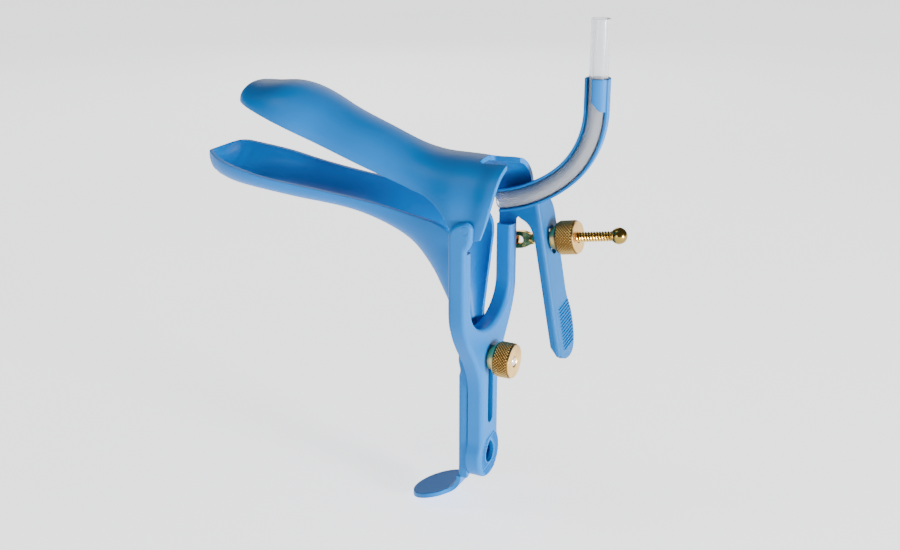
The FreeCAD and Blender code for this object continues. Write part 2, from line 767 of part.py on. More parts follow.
def make_lever_flange(end):
    """The thumb face: narrow under the channel, full width below, round at the pad."""
    near = lever_inside
    far = rod_side + size("lever_margin")
    pad = rod_side + size("lever_pad_margin")
    centre = (near + pad) / 2
    half = (pad - near) / 2
    curves = [
        line((near, -0.5), (near + 4.5, -0.5)),
        bezier((near + 4.5, -0.5), (far - 2.0, 0.6), (far, 4.0), (far, 9.0)),
        line((far, 9.0), (far, end - 24)),
        bezier((far, end - 24), (far, end - 18), (pad, end - 18), (pad, end - 11)),
        bezier((pad, end - 11), (pad, end - 3), (centre + half * 0.6, end), (centre, end)),
        bezier((centre, end), (near + 1.5, end), (near, end - 3), (near, end - 7)),
        line((near, end - 7), (near, -0.5)),
    ]
    flange = face_from(curves).extrude(Vector(0, 0, wall))
    rotation = Rotation(SIDEWAYS, DOWNWARD, SIDEWAYS.cross(DOWNWARD), "XYZ")
    thick = SIDEWAYS.cross(DOWNWARD)
    back = size("lever_face") if thick.dot(PROXIMAL) < 0 else size("lever_face") - wall
    flange.Placement = Placement(hinge + PROXIMAL * back, rotation)
    return flange


def lever_corner_cutter():
    """What the press takes off the outer corner between plate and flange."""
    radius = size("bend_radius")
    span = size("lever_length") + 20
    start = hinge + DOWNWARD * -12 + SIDEWAYS * lever_inside + PROXIMAL * size("lever_face")
    edges = [start, start + SIDEWAYS * radius, start + SIDEWAYS * radius - PROXIMAL * radius,
             start - PROXIMAL * radius]
    block = Part.Face(Part.makePolygon(edges + edges[:1])).extrude(DOWNWARD * span)
    axis = start + SIDEWAYS * radius - PROXIMAL * radius
    return block.cut(Part.makeCylinder(radius, span, axis, DOWNWARD))


def make_lever_slot():
    """The slot that the angle rod passes through."""
    radius = size("rod_radius") + size("slot_clearance")
    top = size("lever_slot_top") + radius
    low = top + size("lever_slot_length") - 2 * radius
    centre = rod_side
    start = hinge + PROXIMAL * (size("lever_face") - 4)
    through = PROXIMAL * 8
    upper = Part.makeCylinder(radius, 8, start + DOWNWARD * top + SIDEWAYS * centre, PROXIMAL)
    lower = Part.makeCylinder(radius, 8, start + DOWNWARD * low + SIDEWAYS * centre, PROXIMAL)
    corners = [
        start + DOWNWARD * top + SIDEWAYS * (centre - radius),
        start + DOWNWARD * top + SIDEWAYS * (centre + radius),
        start + DOWNWARD * low + SIDEWAYS * (centre + radius),
        start + DOWNWARD * low + SIDEWAYS * (centre - radius),
    ]
    middle = Part.Face(Part.makePolygon(corners + corners[:1])).extrude(through)
    return middle.fuse([upper, lower])


make_lever()


# Pins and rivets

def pin_profile(body, name, rings):
    """A turned pin along X: rings of start, end and radius expressions about a height line."""
    for number, (start, end, radius, forward, high) in enumerate(rings):
        sketch = new_circle(body, "YZ_Plane", f"{name}_{number}", (forward, high), radius, start)
        feature(body, "Pad", f"{name}_pad_{number}", sketch, f"({end}) - ({start})")


def make_hinge_pin(side):
    """A pin through arm and ear: a low head inside on the left, sunk in the lever on the right."""
    label = "hinge_pin_left" if side < 0 else "hinge_pin_right"
    body = new_body(label)
    centre = ("@hinge_forward", "@hinge_height")
    if side < 0:
        seat = "-@arm_span / 2 + @side_clearance + 2 * @sheet_wall + @seat_clearance"
        rings = [
            ("-@arm_span / 2", seat, "@hinge_pin_radius") + centre,
            (seat, f"{seat} + @pin_head_height", "@pin_head_radius") + centre,
        ]
    else:
        start = "@arm_span / 2 - @side_clearance - 3 * @sheet_wall + @pin_recess"
        rings = [(start, "@arm_span / 2", "@hinge_pin_radius") + centre]
    pin_profile(body, label, rings)
    return body


def make_rod_rivet():
    """The rivet on which the rod's eye swings."""
    body = new_body("rod_rivet")
    centre = ("@rod_pivot_forward", "(@hinge_height - @rod_pivot_drop)")
    inner = "@arm_span / 2 - @sheet_wall"
    outer = "@arm_span / 2 + @rod_gap + @eye_thickness / 2 + @seat_clearance"
    rings = [
        (f"{inner} - @rivet_head_height", inner, "@rivet_tail_radius") + centre,
        (inner, outer, "@rivet_radius") + centre,
        (outer, f"{outer} + @rivet_head_height", "@rivet_head_radius") + centre,
    ]
    pin_profile(body, "rod_rivet", rings)
    return body


def make_rod_washer():
    """The spacer that holds the eye clear of the arm."""
    body = new_body("rod_washer")
    centre = ("@rod_pivot_forward", "(@hinge_height - @rod_pivot_drop)")
    start = "@arm_span / 2 + @seat_clearance"
    end = "@arm_span / 2 + @rod_gap - @eye_thickness / 2 - @seat_clearance"
    pin_profile(body, "rod_washer", [(start, end, "@washer_radius") + centre])
    bore = new_circle(body, "YZ_Plane", "washer_bore", centre, "@rivet_radius + @pin_clearance")
    feature(body, "Pocket", "washer_bore_cut", bore, through=True)
    return body


def make_lever_rivet():
    """The rivet that joins the lever's plate to the ear."""
    spot = rivet_spot()
    radius = size("lever_rivet_radius")
    length = 1.5 * wall
    return plain_feature("lever_rivet", Part.makeCylinder(
        radius, length, Vector(lever_inside, spot.y, spot.z), SIDEWAYS))


make_hinge_pin(-1)
make_hinge_pin(1)
make_rod_rivet()
make_rod_washer()
make_lever_rivet()


# Height stud and nuts

def make_height_stud():
    """The stud riveted into the handle strip, with a flange inside the strip."""
    body = new_body("height_stud")
    back = "(@stem_depth + @strip_clearance + @strip_depth)"
    seat = f"({back} - @sheet_wall)"
    foot = f"({seat} - @seat_clearance)"
    flange = f"({foot} - @stud_flange_height)"
    corners = [
        ("-@stud_reach", "0"), ("-@stud_reach", "@stud_radius - 0.4"), ("-@stud_reach + 0.4", "@stud_radius"),
        (flange, "@stud_radius"), (flange, "@stud_flange_radius"), (foot, "@stud_flange_radius"),
        (foot, "@stud_tail_radius"), (back, "@stud_tail_radius"), (back, "0"),
    ]
    profile = new_profile(body, "YZ_Plane", "stud_profile", corners)
    turned(body, "stud_turning", profile)
    return body


def nut_corners(face, boss_radius, boss_length, radius, length, bore, away):
    """Half the section of a knurled nut with its boss, from its seat outwards."""
    sign = "-" if away else ""
    boss_end = f"({face} {'-' if away else '+'} {boss_length})"
    far = f"({boss_end} {'-' if away else '+'} {length})"
    inward = "+" if away else "-"
    outward = "-" if away else "+"
    return [
        (f"{face}", bore), (f"{face}", f"{boss_radius} - 0.3"),
        (f"{face} {outward} 0.3", boss_radius), (boss_end, boss_radius),
        (boss_end, f"{radius} - @nut_chamfer"), (f"{boss_end} {outward} @nut_chamfer", radius),
        (f"{far} {inward} @nut_chamfer", radius), (far, f"{radius} - @nut_chamfer"), (far, bore),
    ]


def make_height_nut():
    """The knurled nut that clamps the yoke on the stud."""
    body = new_body("height_nut")
    corners = nut_corners("-@seat_clearance", "@nut_boss_radius", "@nut_boss_length", "@nut_radius",
                          "@nut_length", "@stud_radius + @thread_clearance", True)
    profile = new_profile(body, "YZ_Plane", "height_nut_profile", corners)
    turned(body, "height_nut_turning", profile)
    return body


def rod_frame():
    """Placement with its Y axis along the angle rod, away from the pivot."""
    return Placement(pivot, Rotation(SIDEWAYS, PROXIMAL, SIDEWAYS.cross(PROXIMAL), "XYZ"))


def nut_seat():
    """Distance from the rod's pivot to the lever's face, along the rod."""
    return size("lever_face") - (pivot - hinge).dot(PROXIMAL)


def make_angle_nut():
    """The knurled nut that stops the lever on the rod."""
    body = new_body("angle_nut")
    seat = f"{nut_seat():.6f} + @seat_clearance"
    corners = nut_corners(f"({seat})", "@angle_boss_radius", "@angle_boss_length", "@angle_nut_radius",
                          "@angle_nut_length", "@rod_radius + @thread_clearance", False)
    profile = new_profile(body, "YZ_Plane", "angle_nut_profile", corners)
    turned(body, "angle_nut_turning", profile)
    body.Placement = rod_frame()
    return body


def make_angle_rod():
    """The flat slotted eye and the threaded rod in one piece."""
    body = new_body("angle_rod")
    eye = size("eye_radius")
    slot = size("eye_slot_length")
    neck = size("eye_neck")
    rod = size("rod_radius")
    outline = [
        Part.ArcOfCircle(Part.Circle(ORIGIN, UPWARD, eye), math.pi / 2, 3 * math.pi / 2),
        line((0, -eye), (slot, -eye)),
        bezier((slot, -eye), (slot + 2.4, -eye), (neck - 1.6, -rod), (neck, -rod)),
        line((neck, -rod), (neck, rod)),
        bezier((neck, rod), (neck - 1.6, rod), (slot + 2.4, eye), (slot, eye)),
        line((slot, eye), (0, eye)),
    ]
    eye_sketch = new_sketch(body, "YZ_Plane", "eye_outline", outline, "-@eye_thickness / 2")
    feature(body, "Pad", "eye_pad", eye_sketch, "@eye_thickness")
    corners = [
        ("@eye_neck - 1.6", "0"), ("@eye_neck - 1.6", "@eye_thickness / 2"),
        ("@eye_neck", "@rod_radius"), ("@rod_length - @ball_radius", "@rod_radius"),
        ("@rod_length - @ball_radius", "@rod_radius - 0.5"),
        ("@rod_length - @ball_radius + @ball_thread_length", "@rod_radius - 0.5"),
        ("@rod_length - @ball_radius + @ball_thread_length", "0"),
    ]
    shank = new_profile(body, "YZ_Plane", "rod_profile", corners)
    turned(body, "rod_turning", shank)
    doc.recompute()
    hole = size("rivet_radius") + size("pin_clearance")
    stadium = [
        Part.ArcOfCircle(Part.Circle(ORIGIN, UPWARD, hole), math.pi / 2, 3 * math.pi / 2),
        line((0, -hole), (slot, -hole)),
        Part.ArcOfCircle(Part.Circle(Vector(slot, 0, 0), UPWARD, hole), -math.pi / 2, math.pi / 2),
        line((slot, hole), (0, hole)),
    ]
    slot_sketch = new_sketch(body, "YZ_Plane", "eye_slot", stadium)
    feature(body, "Pocket", "eye_slot_cut", slot_sketch, through=True)
    body.Placement = rod_frame()
    return body


def make_ball_stop():
    """The ball on the rod's end that keeps the nut on."""
    ball = Part.makeSphere(size("ball_radius"))
    start = -size("ball_radius")
    socket = Part.makeCylinder(size("rod_radius") - 0.5 + size("pin_clearance"),
                               size("ball_thread_length") + size("pin_clearance"),
                               Vector(0, start, 0), FORWARD)
    seat = box_between((-5, start - 1, -5), (5, start + 0.35, 5))
    ball = ball.cut(socket).cut(seat)
    place = rod_frame().multiply(Placement(Vector(0, size("rod_length"), 0), Rotation()))
    return plain_feature("ball_stop", ball, place)


make_height_stud()
make_height_nut()
make_angle_rod()
make_ball_stop()
make_angle_nut()


# Smoke channel and tube

channel_bore = size("tube_radius") + size("tube_clearance")
channel_outer = channel_bore + size("channel_wall")
channel_side = lever_inside - channel_outer


def channel_path(extra):
    """The centre line: a low arc out of the collar, a tighter one, and a straight top end."""
    start_angle = math.radians(size("channel_start_slope"))
    mid_angle = math.radians(size("channel_mid_slope"))
    start = Vector(channel_side, size("channel_start_forward"),
                   hinge.z + size("channel_rise"))

    def along(angle):
        return Vector(0, -math.cos(angle), math.sin(angle))

    def inward(angle):
        return Vector(0, math.sin(angle), math.cos(angle))

    def arc(begin, radius, first, last):
        centre = begin + inward(first) * radius
        middle = centre - inward((first + last) / 2) * radius
        end = centre - inward(last) * radius
        return Part.Arc(begin, middle, end).toShape(), end

    low_arc, joint = arc(start, size("channel_low_radius"), start_angle, mid_angle)
    high_arc, top = arc(joint, size("channel_high_radius"), mid_angle, math.pi / 2)
    end = top + UPWARD * (size("clip_height") + extra)
    straight = Part.LineSegment(top, end).toShape()
    return Part.Wire([low_arc, high_arc, straight]), start, along(start_angle), top


def swept_round(path, start, direction, radius):
    """A solid round bar along the path."""
    circle = Part.Wire(Part.Circle(start, direction, radius).toShape())
    return path.makePipeShell([circle], True, False)


def trough_profile(start, direction):
    """The channel's section across the path's start: half a ring with two lips to the near side."""
    across = direction.cross(SIDEWAYS)
    lip = size("channel_lip")

    def spot(aside, up):
        return start + SIDEWAYS * aside + across * up

    outer, inner = channel_outer, channel_bore
    edges = [
        Part.LineSegment(spot(-lip, outer), spot(0, outer)),
        Part.Arc(spot(0, outer), spot(outer, 0), spot(0, -outer)),
        Part.LineSegment(spot(0, -outer), spot(-lip, -outer)),
        Part.LineSegment(spot(-lip, -outer), spot(-lip, -inner)),
        Part.LineSegment(spot(-lip, -inner), spot(0, -inner)),
        Part.Arc(spot(0, -inner), spot(inner, 0), spot(0, inner)),
        Part.LineSegment(spot(0, inner), spot(-lip, inner)),
        Part.LineSegment(spot(-lip, inner), spot(-lip, outer)),
    ]
    return Part.Wire([edge.toShape() for edge in edges])


def make_channel():
    """An open trough round the tube's far side, with a tab folded over the tube at its top."""
    path, start, direction, top = channel_path(0)
    trough = path.makePipeShell([trough_profile(start, direction)], True, False)
    channel = trough.fuse(make_clip(top)).removeSplitter()
    return plain_feature("smoke_channel", channel)


def make_clip(top):
    """The tab that folds over the tube, with its lower corner cut at a slant."""
    height = size("clip_height")
    tab = Part.makeCylinder(channel_outer, height, top, UPWARD)
    tab = tab.cut(Part.makeCylinder(channel_bore, height, top, UPWARD))
    far = box_between((top.x - 0.5, top.y - 10, top.z - 1), (top.x + 10, top.y + 10, top.z + height + 1))
    front = box_between((top.x - 10, top.y + 0.9, top.z - 1), (top.x + 10, top.y + 10, top.z + height + 1))
    tab = tab.cut(far).cut(front)
    slant = Part.makePolygon([
        Vector(top.x - 9, top.y + 2.0, top.z - 1), Vector(top.x - 9, top.y + 2.0, top.z + 4.2),
        Vector(top.x - 9, top.y - 3.0, top.z - 1), Vector(top.x - 9, top.y + 2.0, top.z - 1)])
    wedge = Part.Face(slant).extrude(SIDEWAYS * 20)
    return tab.cut(wedge)


def make_tube():
    """The clear tube in the channel."""
    path, start, direction, top = channel_path(size("tube_stub"))
    tube = swept_round(path, start, direction, size("tube_radius"))
    bore = swept_round(path, start, direction, size("tube_bore_radius"))
    return plain_feature("smoke_tube", tube.cut(bore))


make_channel()
make_tube()

doc.recompute()

NODES = [
    "lower_blade", "height_stud", "height_nut", "yoke_frame", "hinge_pin_left", "hinge_pin_right",
    "rod_rivet", "rod_washer", "upper_blade", "thumb_lever", "lever_rivet", "smoke_channel",
    "smoke_tube", "angle_rod", "ball_stop", "angle_nut",
]

for item in doc.Objects:
    if "Invalid" in item.State or "Error" in item.State:
        raise RuntimeError(f"{item.Label} did not compute: {item.State}")

os.makedirs("parts", exist_ok=True)
for label in NODES:
    shape = doc.getObjectsByLabel(label)[0].Shape
    if shape.isNull() or not shape.isValid() or not shape.Solids:
        raise RuntimeError(f"{label} has no valid solid")
    shape.exportStep(f"parts/{label}.step")
    box = shape.BoundBox
    print(label, len(shape.Solids), round(shape.Volume, 1),
          [round(value, 1) for value in (box.XMin, box.YMin, box.ZMin, box.XMax, box.YMax, box.ZMax)])
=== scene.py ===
"""Looks of a blue-coated bivalve speculum with brass nuts and a clear smoke tube.

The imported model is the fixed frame, and its nodes get their finishes here. Modelled as pieces
of their own are the knurled nuts, the threaded rod, the ball, the grips of the lever and of the
stem's round end, and both blades with fuller noses. All lengths are in metres.
"""
import logging
import math
from collections.abc import Callable, Iterable
from dataclasses import dataclass, field
from enum import Enum

import bpy
from mathutils import Matrix, Vector


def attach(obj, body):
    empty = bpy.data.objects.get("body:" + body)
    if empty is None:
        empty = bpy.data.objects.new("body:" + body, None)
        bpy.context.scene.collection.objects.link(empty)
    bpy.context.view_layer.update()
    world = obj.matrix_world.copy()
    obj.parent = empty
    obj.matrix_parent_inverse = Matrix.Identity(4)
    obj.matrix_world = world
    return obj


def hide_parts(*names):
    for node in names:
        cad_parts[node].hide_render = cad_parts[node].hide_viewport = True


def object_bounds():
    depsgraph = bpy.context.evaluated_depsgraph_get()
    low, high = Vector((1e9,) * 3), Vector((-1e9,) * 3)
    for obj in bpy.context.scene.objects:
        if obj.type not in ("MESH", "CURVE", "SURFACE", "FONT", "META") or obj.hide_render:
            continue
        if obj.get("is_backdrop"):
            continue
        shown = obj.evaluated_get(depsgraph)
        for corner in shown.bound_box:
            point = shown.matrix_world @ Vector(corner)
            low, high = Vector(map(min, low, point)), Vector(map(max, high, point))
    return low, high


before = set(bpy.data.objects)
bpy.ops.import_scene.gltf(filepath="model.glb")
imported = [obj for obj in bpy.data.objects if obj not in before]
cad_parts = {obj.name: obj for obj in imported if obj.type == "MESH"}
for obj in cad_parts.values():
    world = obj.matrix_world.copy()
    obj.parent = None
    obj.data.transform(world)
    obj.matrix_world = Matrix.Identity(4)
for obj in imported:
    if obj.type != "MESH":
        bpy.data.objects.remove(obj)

LOG = logging.getLogger("speculum")
MM = 0.001

# The angle mechanism's plane leans back by this much
TILT = math.radians(10.0)
PROXIMAL = Vector((0.0, -math.cos(TILT), math.sin(TILT)))
DOWNWARD = Vector((0.0, -math.sin(TILT), -math.cos(TILT)))
SIDEWAYS = Vector((1.0, 0.0, 0.0))
FRONT = Vector((0.0, -1.0, 0.0))
DOWN = Vector((0.0, 0.0, -1.0))

# The blades' hinge and the rivet that the angle rod turns on
HINGE = Vector((0.0, 0.3, 50.3)) * MM
PIVOT = Vector((23.3, 3.6, 34.2)) * MM

SEAM_MERGE = 0.001 * MM
RING_MERGE = 0.005 * MM
FLOOR_EDGE = 30.0
# Name of the vertex mask of the grooves that get painted shade
GROOVE = "groove"

Colour = tuple[float, float, float, float]
Socket = bpy.types.NodeSocket
Span = tuple[float, float, float]
VertexTest = Callable[[Vector], bool]


class Body(str, Enum):
    """Bodies of the frame that pieces ride on."""

    HANDLE = "handle"
    YOKE = "yoke"
    BLADE = "upper_blade"
    ROD = "angle_rod"
    ANGLE_NUT = "angle_nut"
    HEIGHT_NUT = "height_nut"


class Slot(str, Enum):
    """Material slots of the record."""

    BLADE = "blade_coat"
    YOKE = "yoke_coat"
    LEVER = "lever_coat"
    NUT = "nut_brass"
    ROD = "rod_brass"


# Node groups that more than one finish uses

def new_group(name: str, inputs: dict[str, float], outputs: dict[str, str]) -> bpy.types.NodeTree:
    """Make an empty shader node group with float inputs.

    Args:
        name: The group's name.
        inputs: Input names with their default values.
        outputs: Output names with their socket types.

    Returns:
        The new node tree.
    """
    tree = bpy.data.node_groups.new(name, "ShaderNodeTree")
    for label, value in inputs.items():
        socket = tree.interface.new_socket(label, in_out="INPUT", socket_type="NodeSocketFloat")
        socket.default_value = value
    for label, kind in outputs.items():
        tree.interface.new_socket(label, in_out="OUTPUT", socket_type=kind)
    tree.nodes.new("NodeGroupInput")
    tree.nodes.new("NodeGroupOutput")
    return tree


def ends_of(tree: bpy.types.NodeTree) -> tuple[bpy.types.Node, bpy.types.Node]:
    """Find a group's input and output nodes.

    Args:
        tree: The node group.

    Returns:
        The input node and the output node.
    """
    source = next(node for node in tree.nodes if node.bl_idname == "NodeGroupInput")
    sink = next(node for node in tree.nodes if node.bl_idname == "NodeGroupOutput")
    return source, sink


def add_math(tree: bpy.types.NodeTree, operation: str, first: Socket,
             second: Socket | float = 0.0) -> Socket:
    """Add a math node.

    Args:
        tree: The node tree.
        operation: The math operation.
        first: The socket that feeds the first input.
        second: A socket or a number for the second input.

    Returns:
        The node's output socket.
    """
    node = tree.nodes.new("ShaderNodeMath")
    node.operation = operation
    tree.links.new(first, node.inputs[0])
    if isinstance(second, (int, float)):
        node.inputs[1].default_value = second
    else:
        tree.links.new(second, node.inputs[1])
    return node.outputs[0]


def add_noise(tree: bpy.types.NodeTree, vector: Socket, scale: Socket | float,
              detail: float = 2.0) -> Socket:
    """Add a noise texture on given coordinates.

    Args:
        tree: The node tree.
        vector: The coordinates.
        scale: A socket or a number for the scale.
        detail: Octaves of detail.

    Returns:
        The noise value.
    """
    node = tree.nodes.new("ShaderNodeTexNoise")
    tree.links.new(vector, node.inputs["Vector"])
    if isinstance(scale, (int, float)):
        node.inputs["Scale"].default_value = scale
    else:
        tree.links.new(scale, node.inputs["Scale"])
    node.inputs["Detail"].default_value = detail
    return node.outputs["Fac"]


def object_coordinates(tree: bpy.types.NodeTree) -> Socket:
    """Add object coordinates to a tree and return their socket."""
    return tree.nodes.new("ShaderNodeTexCoord").outputs["Object"]


def build_peel_group() -> bpy.types.NodeTree:
    """Build the orange peel of a dipped coat: a fine height and a broad mottle."""
    tree = new_group("coat_peel", {"Fine": 900.0, "Broad": 35.0},
                     {"Height": "NodeSocketFloat", "Mottle": "NodeSocketFloat"})
    source, sink = ends_of(tree)
    where = object_coordinates(tree)
    fine = add_noise(tree, where, source.outputs["Fine"], 3.0)
    broad = add_noise(tree, where, source.outputs["Broad"], 3.0)
    tree.links.new(fine, sink.inputs["Height"])
    tree.links.new(broad, sink.inputs["Mottle"])
    return tree


def build_edge_group() -> bpy.types.NodeTree:
    """Build the soft edges that a coat leaves: a rounded normal and a mask of the edges, on which the
    coat paints highlights.
    """
    tree = new_group("soft_edges", {"Radius": 0.4 * MM, "Contrast": 3.0},
                     {"Normal": "NodeSocketVector", "Edge": "NodeSocketFloat"})
    source, sink = ends_of(tree)
    rounded = tree.nodes.new("ShaderNodeBevel")
    rounded.samples = 4
    tree.links.new(source.outputs["Radius"], rounded.inputs["Radius"])
    flat = tree.nodes.new("ShaderNodeNewGeometry")
    product = tree.nodes.new("ShaderNodeVectorMath")
    product.operation = "DOT_PRODUCT"
    tree.links.new(rounded.outputs["Normal"], product.inputs[0])
    tree.links.new(flat.outputs["Normal"], product.inputs[1])
    fall = tree.nodes.new("ShaderNodeMath")
    fall.operation = "SUBTRACT"
    fall.inputs[0].default_value = 1.0
    tree.links.new(product.outputs["Value"], fall.inputs[1])
    spread = add_math(tree, "MULTIPLY", fall.outputs[0], source.outputs["Contrast"])
    mask = tree.nodes.new("ShaderNodeClamp")
    tree.links.new(spread, mask.inputs["Value"])
    tree.links.new(rounded.outputs["Normal"], sink.inputs["Normal"])
    tree.links.new(mask.outputs[0], sink.inputs["Edge"])
    return tree


def build_wear_group() -> bpy.types.NodeTree:
    """Build the fine scratches and the tarnish of turned brass and steel."""
    tree = new_group("turned_wear", {"Scratch": 2600.0, "Tarnish": 90.0},
                     {"Height": "NodeSocketFloat", "Stain": "NodeSocketFloat"})
    source, sink = ends_of(tree)
    where = object_coordinates(tree)
    stretch = tree.nodes.new("ShaderNodeMapping")
    stretch.inputs["Scale"].default_value = (1.0, 0.12, 1.0)
    tree.links.new(where, stretch.inputs["Vector"])
    scratch = add_noise(tree, stretch.outputs[0], source.outputs["Scratch"], 4.0)
    stain = add_noise(tree, where, source.outputs["Tarnish"], 5.0)
    tree.links.new(scratch, sink.inputs["Height"])
    tree.links.new(stain, sink.inputs["Stain"])
    return tree


@dataclass(frozen=True)
class Groups:
    """The node groups that the finishes share."""

    peel: bpy.types.NodeTree
    edges: bpy.types.NodeTree
    wear: bpy.types.NodeTree


# Finishes

def new_material(name: str) -> tuple[bpy.types.Material, bpy.types.Node]:
    """Make a node material with a Principled shader.

    Args:
        name: The material's name.

    Returns:
        The material and its shader node.
    """
    material = bpy.data.materials.new(name)
    material.use_nodes = True
    nodes = material.node_tree.nodes
    shader = next(node for node in nodes if node.bl_idname == "ShaderNodeBsdfPrincipled")
    return material, shader


def place_group(tree: bpy.types.NodeTree, group: bpy.types.NodeTree,
                **values: float) -> bpy.types.Node:
    """Place a node group in a material with its own values.

    Args:
        tree: The material's node tree.
        group: The group.
        values: Input values by name.

    Returns:
        The group node.
    """
    node = tree.nodes.new("ShaderNodeGroup")
    node.node_tree = group
    for label, value in values.items():
        node.inputs[label].default_value = value
    return node


def add_ramp(tree: bpy.types.NodeTree, factor: Socket, low: Colour, high: Colour,
             start: float = 0.3, end: float = 0.7) -> Socket:
    """Add a colour ramp between two colours.

    Args:
        tree: The node tree.
        factor: The socket that drives the ramp.
        low: The colour at the start.
        high: The colour at the end.
        start: Where the low colour ends.
        end: Where the high colour begins.

    Returns:
        The colour socket.
    """
    node = tree.nodes.new("ShaderNodeValToRGB")
    node.color_ramp.elements[0].position = start
    node.color_ramp.elements[0].color = low
    node.color_ramp.elements[1].position = end
    node.color_ramp.elements[1].color = high
    tree.links.new(factor, node.inputs["Fac"])
    return node.outputs["Color"]


def add_mix(tree: bpy.types.NodeTree, factor: Socket, first: Socket,
            second: Socket | Colour) -> Socket:
    """Mix two colours by a factor.

    Args:
        tree: The node tree.
        factor: The socket of the factor.
        first: The socket of the first colour.
        second: A socket or a colour for the second.

    Returns:
        The mixed colour.
    """
    node = tree.nodes.new("ShaderNodeMix")
    node.data_type = "RGBA"
    tree.links.new(factor, node.inputs[0])
    tree.links.new(first, node.inputs[6])
    if isinstance(second, tuple):
        node.inputs[7].default_value = second
    else:
        tree.links.new(second, node.inputs[7])
    return node.outputs[2]


def add_bump(tree: bpy.types.NodeTree, height: Socket, distance: float, strength: float,
             normal: Socket | None = None) -> Socket:
    """Add a bump node.

    Args:
        tree: The node tree.
        height: The height socket.
        distance: The bump's distance in metres.
        strength: The bump's strength.
        normal: A normal to start from.

    Returns:
        The bumped normal.
    """
    node = tree.nodes.new("ShaderNodeBump")
    node.inputs["Distance"].default_value = distance
    node.inputs["Strength"].default_value = strength
    tree.links.new(height, node.inputs["Height"])
    if normal is not None:
        tree.links.new(normal, node.inputs["Normal"])
    return node.outputs[0]


@dataclass(frozen=True)
class CoatFinish:
    """A satin insulating coat over pressed sheet, with a painted highlight along its edges."""

    name: str
    deep: Colour = (0.0, 0.132, 0.42, 1.0)
    light: Colour = (0.0, 0.158, 0.50, 1.0)
    # Colour of the painted highlight along the edges
    edge: Colour = (0.005, 0.28, 0.78, 1.0)
    roughness: tuple[float, float] = (0.38, 0.50)
    radius: float = 0.45 * MM
    highlight_share: float = 0.6
    gloss: float = 0.16

    def build(self, groups: Groups) -> bpy.types.Material:
        """Build the material.

        Args:
            groups: The shared node groups.

        Returns:
            The material.
        """
        material, shader = new_material(self.name)
        tree = material.node_tree
        peel = place_group(tree, groups.peel, Fine=950.0, Broad=30.0)
        edges = place_group(tree, groups.edges, Radius=self.radius, Contrast=3.0)
        base = add_ramp(tree, peel.outputs["Mottle"], self.deep, self.light)
        # The coat's edges are painted a lighter blue: a painted highlight where the rounded edges catch
        # the light.
        edge_highlight_mask = add_math(tree, "MULTIPLY", edges.outputs["Edge"], self.highlight_share)
        tree.links.new(add_mix(tree, edge_highlight_mask, base, self.edge), shader.inputs["Base Color"])
        low, high = self.roughness
        rough = add_math(tree, "MULTIPLY", peel.outputs["Mottle"], high - low)
        tree.links.new(add_math(tree, "ADD", rough, low), shader.inputs["Roughness"])
        bump = add_bump(tree, peel.outputs["Height"], distance=0.02 * MM, strength=0.35,
                        normal=edges.outputs["Normal"])
        tree.links.new(bump, shader.inputs["Normal"])
        shader.inputs["Specular IOR Level"].default_value = self.gloss
        return material


@dataclass(frozen=True)
class MetalFinish:
    """Turned metal with fine scratches, slight tarnish and painted shade in its grooves."""

    name: str
    bright: Colour
    stained: Colour
    roughness: tuple[float, float]
    # Colour of the painted shade in the grooves
    groove: Colour = (0.06, 0.03, 0.008, 1.0)
    groove_shade_strength: float = 0.85
    radius: float = 0.1 * MM

    def build(self, groups: Groups) -> bpy.types.Material:
        """Build the material.

        Args:
            groups: The shared node groups.

        Returns:
            The material.
        """
        material, shader = new_material(self.name)
        tree = material.node_tree
        wear = place_group(tree, groups.wear, Scratch=2600.0, Tarnish=160.0)
        edges = place_group(tree, groups.edges, Radius=self.radius, Contrast=2.0)
        base = add_ramp(tree, wear.outputs["Stain"], self.bright, self.stained, start=0.4, end=0.75)
        groove = tree.nodes.new("ShaderNodeAttribute")
        groove.attribute_name = GROOVE
        # The grooves are darkened towards dark brown: painted shade in the recesses of the knurl and
        # the thread.
        groove_shade = add_math(tree, "MULTIPLY", groove.outputs["Fac"], self.groove_shade_strength)
        tree.links.new(add_mix(tree, groove_shade, base, self.groove), shader.inputs["Base Color"])
        low, high = self.roughness
        rough = add_math(tree, "MULTIPLY", wear.outputs["Stain"], high - low)
        tree.links.new(add_math(tree, "ADD", rough, low), shader.inputs["Roughness"])
        bump = add_bump(tree, wear.outputs["Height"], distance=0.01 * MM, strength=0.3,
                        normal=edges.outputs["Normal"])
        tree.links.new(bump, shader.inputs["Normal"])
        shader.inputs["Metallic"].default_value = 1.0
        return material


@dataclass(frozen=True)
class TubeFinish:
    """Clear, slightly milky plastic tube."""

    name: str
    clear: Colour = (0.86, 0.90, 0.95, 1.0)
    milky: Colour = (0.92, 0.94, 0.96, 1.0)
    roughness: tuple[float, float] = (0.06, 0.16)
    transmission: float = 0.84
    refraction: float = 1.42

    def build(self, groups: Groups) -> bpy.types.Material:
        """Build the material.

        Args:
            groups: The shared node groups.

        Returns:
            The material.
        """
        material, shader = new_material(self.name)
        tree = material.node_tree
        peel = place_group(tree, groups.peel, Fine=500.0, Broad=60.0)
        base = add_ramp(tree, peel.outputs["Mottle"], self.clear, self.milky)
        tree.links.new(base, shader.inputs["Base Color"])
        low, high = self.roughness
        rough = add_math(tree, "MULTIPLY", peel.outputs["Mottle"], high - low)
        tree.links.new(add_math(tree, "ADD", rough, low), shader.inputs["Roughness"])
        bump = add_bump(tree, peel.outputs["Height"], distance=0.01 * MM, strength=0.25)
        tree.links.new(bump, shader.inputs["Normal"])
        shader.inputs["Transmission Weight"].default_value = self.transmission
        shader.inputs["IOR"].default_value = self.refraction
        return material


